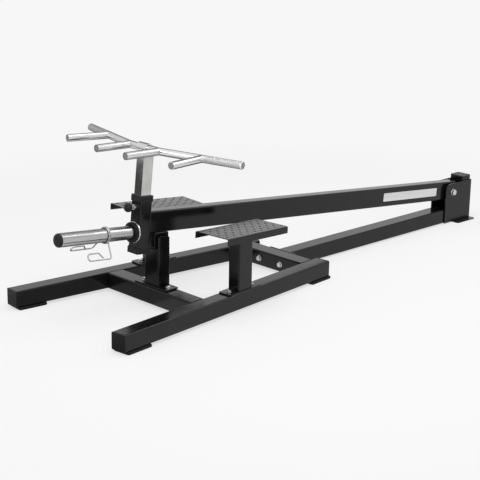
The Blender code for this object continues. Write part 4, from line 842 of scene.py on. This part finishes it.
# %% Knurled chrome
KNURL_STARTS = 44
KNURL_PITCH = 0.0021
KNURL_DEPTH = 0.0002
KNURL_FADE = 0.001
KNURL_SHADE_TONES = (0.48, 0.76)  # groove and crest; the darker groove is painted shade
KNURL_ROUGHNESS = 0.34
PLAIN_TONE = 0.80
PLAIN_ROUGHNESS = (0.14, 0.17)
KNURL_STRENGTH = 0.8
STREAKS_PER_METRE = 90


def knurled_chrome(name, matrix, start, end):
    """Chrome with diamonds between two distances along a bar's own Z axis, with painted shade in the grooves.
    """
    finish = bpy.data.materials.new(name)
    add = shader_nodes(finish)

    def maths(operation, first, second=None):
        values = {"i0": first} if second is None else {"i0": first, "i1": second}
        return add("ShaderNodeMath", {"operation": operation}, **values).outputs[0]

    inverse = matrix.inverted()
    place = add("ShaderNodeTexCoord").outputs["Object"]
    local = add("ShaderNodeMapping", Vector=place, Location=inverse.translation,
                Rotation=inverse.to_euler()).outputs[0]
    split = add("ShaderNodeSeparateXYZ", Vector=local).outputs
    around = maths("MULTIPLY", maths("ARCTAN2", split["Y"], split["X"]), KNURL_STARTS)
    along = maths("MULTIPLY", split["Z"], 2 * pi / KNURL_PITCH)
    waves = [maths("SINE", maths(operation, around, along)) for operation in ("ADD", "SUBTRACT")]
    diamonds = maths("MINIMUM", *waves)
    enter = add("ShaderNodeMapRange", Value=split["Z"], From_Min=start,
                From_Max=start + KNURL_FADE).outputs[0]
    leave = add("ShaderNodeMapRange", Value=split["Z"], From_Min=end - KNURL_FADE, From_Max=end,
                To_Min=1.0, To_Max=0.0).outputs[0]
    zone = maths("MULTIPLY", enter, leave)
    height = maths("MULTIPLY", diamonds, zone)
    groove_shade = add("ShaderNodeMapRange", Value=height, From_Min=-1.0, From_Max=1.0, To_Min=KNURL_SHADE_TONES[0],
                 To_Max=KNURL_SHADE_TONES[1]).outputs[0]
    tone = add("ShaderNodeMix", {"data_type": "FLOAT"}, i0=zone, i2=PLAIN_TONE, i3=groove_shade).outputs[0]
    colour = add("ShaderNodeCombineColor", Red=tone, Green=tone, Blue=tone).outputs[0]
    streaks = add("ShaderNodeTexNoise", Vector=place, Scale=STREAKS_PER_METRE, Detail=3.0).outputs["Fac"]
    smooth = add("ShaderNodeMapRange", Value=streaks, To_Min=PLAIN_ROUGHNESS[0],
                 To_Max=PLAIN_ROUGHNESS[1]).outputs[0]
    dullness = add("ShaderNodeMix", {"data_type": "FLOAT"}, i0=zone, i2=smooth,
                   i3=KNURL_ROUGHNESS).outputs[0]
    lifted = add("ShaderNodeBump", Strength=KNURL_STRENGTH, Distance=KNURL_DEPTH,
                 Height=height).outputs[0]
    shader = add("ShaderNodeBsdfPrincipled", Base_Color=colour, Roughness=dullness, Metallic=1.0,
                 Normal=lifted, Specular_Tint=(CHROME_PAINTED_RIM, CHROME_PAINTED_RIM, CHROME_PAINTED_RIM, 1))
    add("ShaderNodeOutputMaterial", Surface=shader.outputs[0])
    return finish


print("knurl:", KNURL_STARTS, "starts each way, pitch", 1000 * KNURL_PITCH, "mm")

# %% [markdown]
# ### Handle bar
#
# One tube, straight at the saddle and swept back at both sides, is the handle's main bar. Its line is four
# corners with an arc at each bend. The wings share the bar's mesh and take their own material, so there is
# no seam where the knurl starts.

# %% Handle bar
BAR_RADIUS = 0.014
BAR_SIDES = 48
BAR_STRAIGHT = 0.080
BAR_SPAN = 0.415
BAR_BEND = 0.060
HANDLE_SWEEP = radians(14.4)


def bar_place(across):
    """The point on the swept bar's centre line at a distance from the handle's middle."""
    back = max(0.0, abs(across) - BAR_STRAIGHT) * tan(HANDLE_SWEEP)
    return Vector((back, across, 0))


bar_corners = [handle_line @ bar_place(y) for y in (-BAR_SPAN, -BAR_STRAIGHT, BAR_STRAIGHT, BAR_SPAN)]
bar_shape = bmesh.new()
bar_points = pulled_in(rounded_path(bar_corners, (BAR_BEND, BAR_BEND)), True, True)
for end_face in add_swept(bar_shape, bar_points, BAR_RADIUS, BAR_SIDES):
    open_end(bar_shape, end_face)
handle_bar = finish_piece("handle_bar_swept", bar_shape, "mast", chrome, ["handle_bar"])
print("bar", round(2 * BAR_SPAN, 3), "m across its ends")

# %% Wings of the bar
WING_START = 0.253
WING_SEEN = 0.12            # faces further out than this take the wings' material
KNURL_FROM = 0.018          # from the wing's root
KNURL_END = 0.005           # short of the wing's tip
for side, sign in SIDES:
    wing_root = handle_line @ bar_place(sign * WING_START)
    wing_tip = handle_line @ bar_place(sign * BAR_SPAN)
    wing_length = (wing_tip - wing_root).length
    wing_line = line(wing_root, wing_tip - wing_root, handle_up)
    knurl = knurled_chrome("knurl_" + side, wing_line, KNURL_FROM, wing_length - KNURL_END)
    handle_bar.data.materials.append(knurl)
to_handle = handle_line.inverted()
for face in handle_bar.data.polygons:
    across = (to_handle @ face.center).y
    if abs(across) > WING_SEEN:
        face.material_index = 1 if across < 0 else 2
print(round(1000 * wing_length), "mm of wing past the outer grips")

# %% [markdown]
# ### Grips and plugs
#
# Four short tubes branch forward from the bar, the outer two turned a little outwards. Each starts inside
# the bar, as a coped tube seems to, and ends in the same open rim, closed by a low domed grey plug.

# %% Grips and plugs
GRIPS = (("inner", 0.0796, 0.155, 0.0),     # its name, place on the bar, length and outward turn
         ("outer", WING_START, 0.173, radians(10.7)))
GRIP_START = 0.008
GRIP_RADIUS = BAR_RADIUS - 0.0001           # a little thinner, so its skin never meets the bar's
PLUG_OUTLINE = [(0, 0.0004), (0.006, 0.0003), (0.0105, -0.0003), (0.0114, -RECESS), (0, -RECESS)]


def add_plug(name, tip, heading):
    """Grey plug in the recess of a tube's end."""
    turned_piece(name, PLUG_OUTLINE, line(tip, heading, handle_up), "mast", plug_grey)


for side, sign in SIDES:
    for place, across, length, angle in GRIPS:
        name = "grip_" + place + "_" + side
        root = bar_place(sign * across)
        heading = Vector((-cos(angle), sign * sin(angle), 0))
        start = handle_line @ (root + GRIP_START * heading)
        tip = handle_line @ (root + length * heading)
        grip_shape = bmesh.new()
        grip_ends = add_swept(grip_shape, pulled_in([start, tip], False, True), GRIP_RADIUS, BAR_SIDES)
        open_end(grip_shape, grip_ends[1])
        finish_piece(name + "_swept", grip_shape, "mast", chrome, [name])
        add_plug(name + "_plug", tip, tip - start)
    outer, inner = (bar_corners[0], bar_corners[1]) if sign < 0 else (bar_corners[3], bar_corners[2])
    add_plug("bar_plug_" + side, outer, outer - inner)
print("four grips, six plugs")

# %% [markdown]
# ## Spring collar
#
# A collar of spring wire grips the sleeve and keeps the plates on. Its wire takes two turns round the sleeve,
# and each end runs out, forward and back again as a finger loop. It is bent from one piece, so it is one
# sweep along one list of points: the rear leg read backwards, the coil and the front leg.

# %% Wire legs
WIRE_RADIUS = 0.0025
WIRE_SIDES = 14
COIL_RADIUS = 0.0283
LEG_OUT = 0.0855
LEG_FORWARD = 0.102
LEG_LOOP = 0.025
LEG_RETURN = 0.050
LEG_TIP = 0.066
LEG_GAP = 0.001
LEG_BENDS = (0.004, 0.008, 0.012, 0.012, 0.008)


def wire_leg(angle, start):
    """Corners of one wire leg: out from the coil, forward, and folded back into a finger loop."""
    outward = Vector((-cos(angle), sin(angle), 0))
    inner = LEG_OUT - LEG_LOOP
    tip_out = LEG_OUT - 2 * WIRE_RADIUS - LEG_GAP
    corners = [outward * COIL_RADIUS, outward * LEG_OUT, outward * LEG_OUT + UP * LEG_FORWARD,
               outward * inner + UP * LEG_FORWARD, outward * inner + UP * (LEG_FORWARD - LEG_RETURN),
               outward * tip_out + UP * (LEG_FORWARD - LEG_TIP)]
    return [corner + UP * start for corner in corners]


print("finger loops reach", round(1000 * LEG_OUT, 1), "mm out from the sleeve's axis")

# %% Coil and collar
COIL_PITCH = 0.0057
COIL_AT = 0.160
COIL_STEPS = 96
COIL_LEAD = radians(16)     # left out of the coil at each end, where the wire bends into its leg
LEG_ANGLES = (radians(-25), radians(45))
first, last = LEG_ANGLES
sweep = 4 * pi + (last - first)
rise = COIL_PITCH * sweep / (2 * pi)
coil = []
for step in range(COIL_STEPS + 1):
    share = step / COIL_STEPS
    angle = first + COIL_LEAD + (sweep - 2 * COIL_LEAD) * share
    coil.append(Vector((-COIL_RADIUS * cos(angle), COIL_RADIUS * sin(angle), rise * (share - 0.5))))
front_leg = rounded_path([coil[-1]] + wire_leg(last, rise / 2), LEG_BENDS, steps=7)
rear_leg = rounded_path([coil[0]] + wire_leg(first, -rise / 2), LEG_BENDS, steps=7)
collar_place = sleeve_line @ Matrix.Translation((0, 0, COIL_AT))
wire = [collar_place @ point for point in rear_leg[:0:-1] + coil + front_leg[1:]]
wire_shape = bmesh.new()
add_swept(wire_shape, wire, WIRE_RADIUS, WIRE_SIDES)
finish_piece("spring_collar_wire", wire_shape, "spring_collar", satin_chrome, ["spring_collar"],
             sharp=60)
print("collar wire", round(sum((b - a).length for a, b in zip(wire, wire[1:])), 3), "m long")

# %% [markdown]
# ## Footplates
#
# The feet stand on sheet with both long edges folded down. Its upper side has the raised lozenges of tread
# plate, set in rows with their directions crossing. The sheet is the fold's outline drawn out and thickened,
# and one lozenge, a low cone drawn long, is copied over it in a loop.

# %% Folded sheet
TREAD_LENGTH = 0.341
TREAD_WIDTH = 0.156
TREAD_SHEET = 0.0035
TREAD_FLANGE = 0.026
TREAD_BEND = 0.006
BEND_STEPS = 6


def folded_sheet(matrix):
    """The sheet's upper skin drawn along X from its section, then given its thickness."""
    shape = bmesh.new()
    section = [(-TREAD_WIDTH / 2, -TREAD_FLANGE)]
    for edge, turn in ((-1, pi), (1, pi / 2)):
        for step in range(BEND_STEPS + 1):
            angle = turn - step / BEND_STEPS * pi / 2
            section.append((edge * (TREAD_WIDTH / 2 - TREAD_BEND) + TREAD_BEND * cos(angle),
                            -TREAD_BEND + TREAD_BEND * sin(angle)))
    section.append((TREAD_WIDTH / 2, -TREAD_FLANGE))
    points = [shape.verts.new((-TREAD_LENGTH / 2, y, z)) for y, z in section]
    edges = [shape.edges.new(pair) for pair in zip(points, points[1:])]
    made = bmesh.ops.extrude_edge_only(shape, edges=edges)["geom"]
    far_points = [item for item in made if isinstance(item, bmesh.types.BMVert)]
    bmesh.ops.translate(shape, verts=far_points, vec=(TREAD_LENGTH, 0, 0))
    bmesh.ops.recalc_face_normals(shape, faces=shape.faces)
    upper = max(shape.faces, key=lambda face: face.calc_area())
    if upper.normal.z < 0:
        bmesh.ops.reverse_faces(shape, faces=shape.faces)
    bmesh.ops.solidify(shape, geom=list(shape.faces), thickness=TREAD_SHEET)
    return carried(shape, matrix)


print("sheet", round(1000 * TREAD_LENGTH), "by", round(1000 * TREAD_WIDTH), "mm")

# %% Lozenge
LOZENGE_LENGTH = 0.0225
LOZENGE_WIDTH = 0.0062
LOZENGE_HEIGHT = 0.0012
LOZENGE_SINK = 0.0004       # how far its foot reaches into the sheet
LOZENGE_TAPER = 0.45        # of its width, lost towards its tips
LOZENGE_TOP = 0.3           # of the size of its foot


def lozenge(matrix):
    """A low pointed mound: a short cone, drawn long and narrowed towards both tips."""
    shape = bmesh.new()
    bmesh.ops.create_cone(shape, cap_ends=True, segments=12, radius1=1, radius2=LOZENGE_TOP, depth=1)
    bmesh.ops.scale(shape, verts=shape.verts,
                    vec=(LOZENGE_LENGTH / 2, LOZENGE_WIDTH / 2, LOZENGE_HEIGHT + LOZENGE_SINK))
    for vert in shape.verts:
        vert.co.y *= 1 - LOZENGE_TAPER * abs(vert.co.x) / (LOZENGE_LENGTH / 2)
    bmesh.ops.translate(shape, verts=shape.verts, vec=(0, 0, (LOZENGE_HEIGHT - LOZENGE_SINK) / 2))
    return carried(shape, matrix)


print("lozenges", round(1000 * LOZENGE_LENGTH, 1), "by", round(1000 * LOZENGE_WIDTH, 1), "mm")

# %% Footplates
TREAD_PLACE = (-0.499218, 0.232863, 0.3009)
TREAD_UP = (0.06691, -0.00678, 0.99774)
TREAD_ALONG = (0.99265, -0.10065, -0.06725)
SHEEN_TOP_NORMAL = 0.9      # faces that look up more than this take the painted sheen of the tread's top
LOZENGE_COLUMNS = 17
LOZENGE_ROWS = 7
LOZENGE_PITCH = 0.0192
for side, sign in SIDES:
    tread_line = line(*[(x, sign * y, z) for x, y, z in (TREAD_PLACE, TREAD_UP, TREAD_ALONG)])
    sheet = finish_piece("footplate_" + side + "_folded", folded_sheet(tread_line), "frame", paint,
                         ["footplate_" + side])
    # Upward faces take the lighter copy of the paint, a painted sheen.
    sheet.data.materials.append(tread_top_sheen)
    for face in sheet.data.polygons:
        if face.normal.z > SHEEN_TOP_NORMAL:
            face.material_index = 1
    lozenges = []
    for column in range(LOZENGE_COLUMNS):
        for row in range(LOZENGE_ROWS):
            x = (column - (LOZENGE_COLUMNS - 1) / 2) * LOZENGE_PITCH
            y = (row - (LOZENGE_ROWS - 1) / 2) * LOZENGE_PITCH
            turn = radians(45) if (column + row) % 2 else radians(-45)
            place = tread_line @ Matrix.Translation((x, y, 0)) @ Matrix.Rotation(turn, 4, "Z")
            lozenges.append(lozenge(place))
    finish_piece("footplate_" + side + "_lozenges", joined(lozenges), "frame", paint,
                 sharp=60)
print(LOZENGE_COLUMNS * LOZENGE_ROWS, "lozenges on each footplate")

# %% [markdown]
# ## Name plate
#
# The arm has a bright plate near its rear end, which stays bare here. It is a thin sheet of brushed
# aluminium with round corners. Bevelling the four upright edges of a thin block gives the sheet.

# %% Bare name plate
PLATE_FROM = 0.5515
PLATE_TO = 0.9195
PLATE_HEIGHT = 0.036
PLATE_THICKNESS = 0.0008
PLATE_CORNER = 0.004
PLATE_GAP = 0.0001
plate_reach = (PIVOT.x - (PLATE_FROM + PLATE_TO) / 2) / cos(ARM_SLOPE)
plate_centre = PIVOT + plate_reach * FORWARD + ARM_RISE * UP_MAST
plate_centre.y = -ARM_HALF_WIDTH - PLATE_THICKNESS / 2 - PLATE_GAP
plate_shape = bmesh.new()
bmesh.ops.create_cube(plate_shape, size=1)
bmesh.ops.scale(plate_shape, verts=plate_shape.verts,
                vec=((PLATE_TO - PLATE_FROM) / cos(ARM_SLOPE), PLATE_HEIGHT, PLATE_THICKNESS))
uprights = [edge for edge in plate_shape.edges
            if abs(edge.verts[0].co.z - edge.verts[1].co.z) > PLATE_THICKNESS / 2]
bmesh.ops.bevel(plate_shape, geom=uprights, offset=PLATE_CORNER, offset_type="OFFSET", segments=6,
                profile=0.5, affect="EDGES", material=-1)
carried(plate_shape, line(plate_centre, (0, -1, 0), -FORWARD))
brushed = new_finish("brushed_plate", dark=(0.60, 0.60, 0.60), light=(0.74, 0.74, 0.73),
                     roughness=(0.32, 0.44), patch_size=0.02, grain_size=0.0006, grain_depth=0.00002,
                     metallic=0.9, stretch=(20, 1, 1), turn=ARM_SLOPE)
finish_piece("name_plate", plate_shape, "arm", brushed)
print("bare plate", round(1000 * (PLATE_TO - PLATE_FROM)), "mm long")
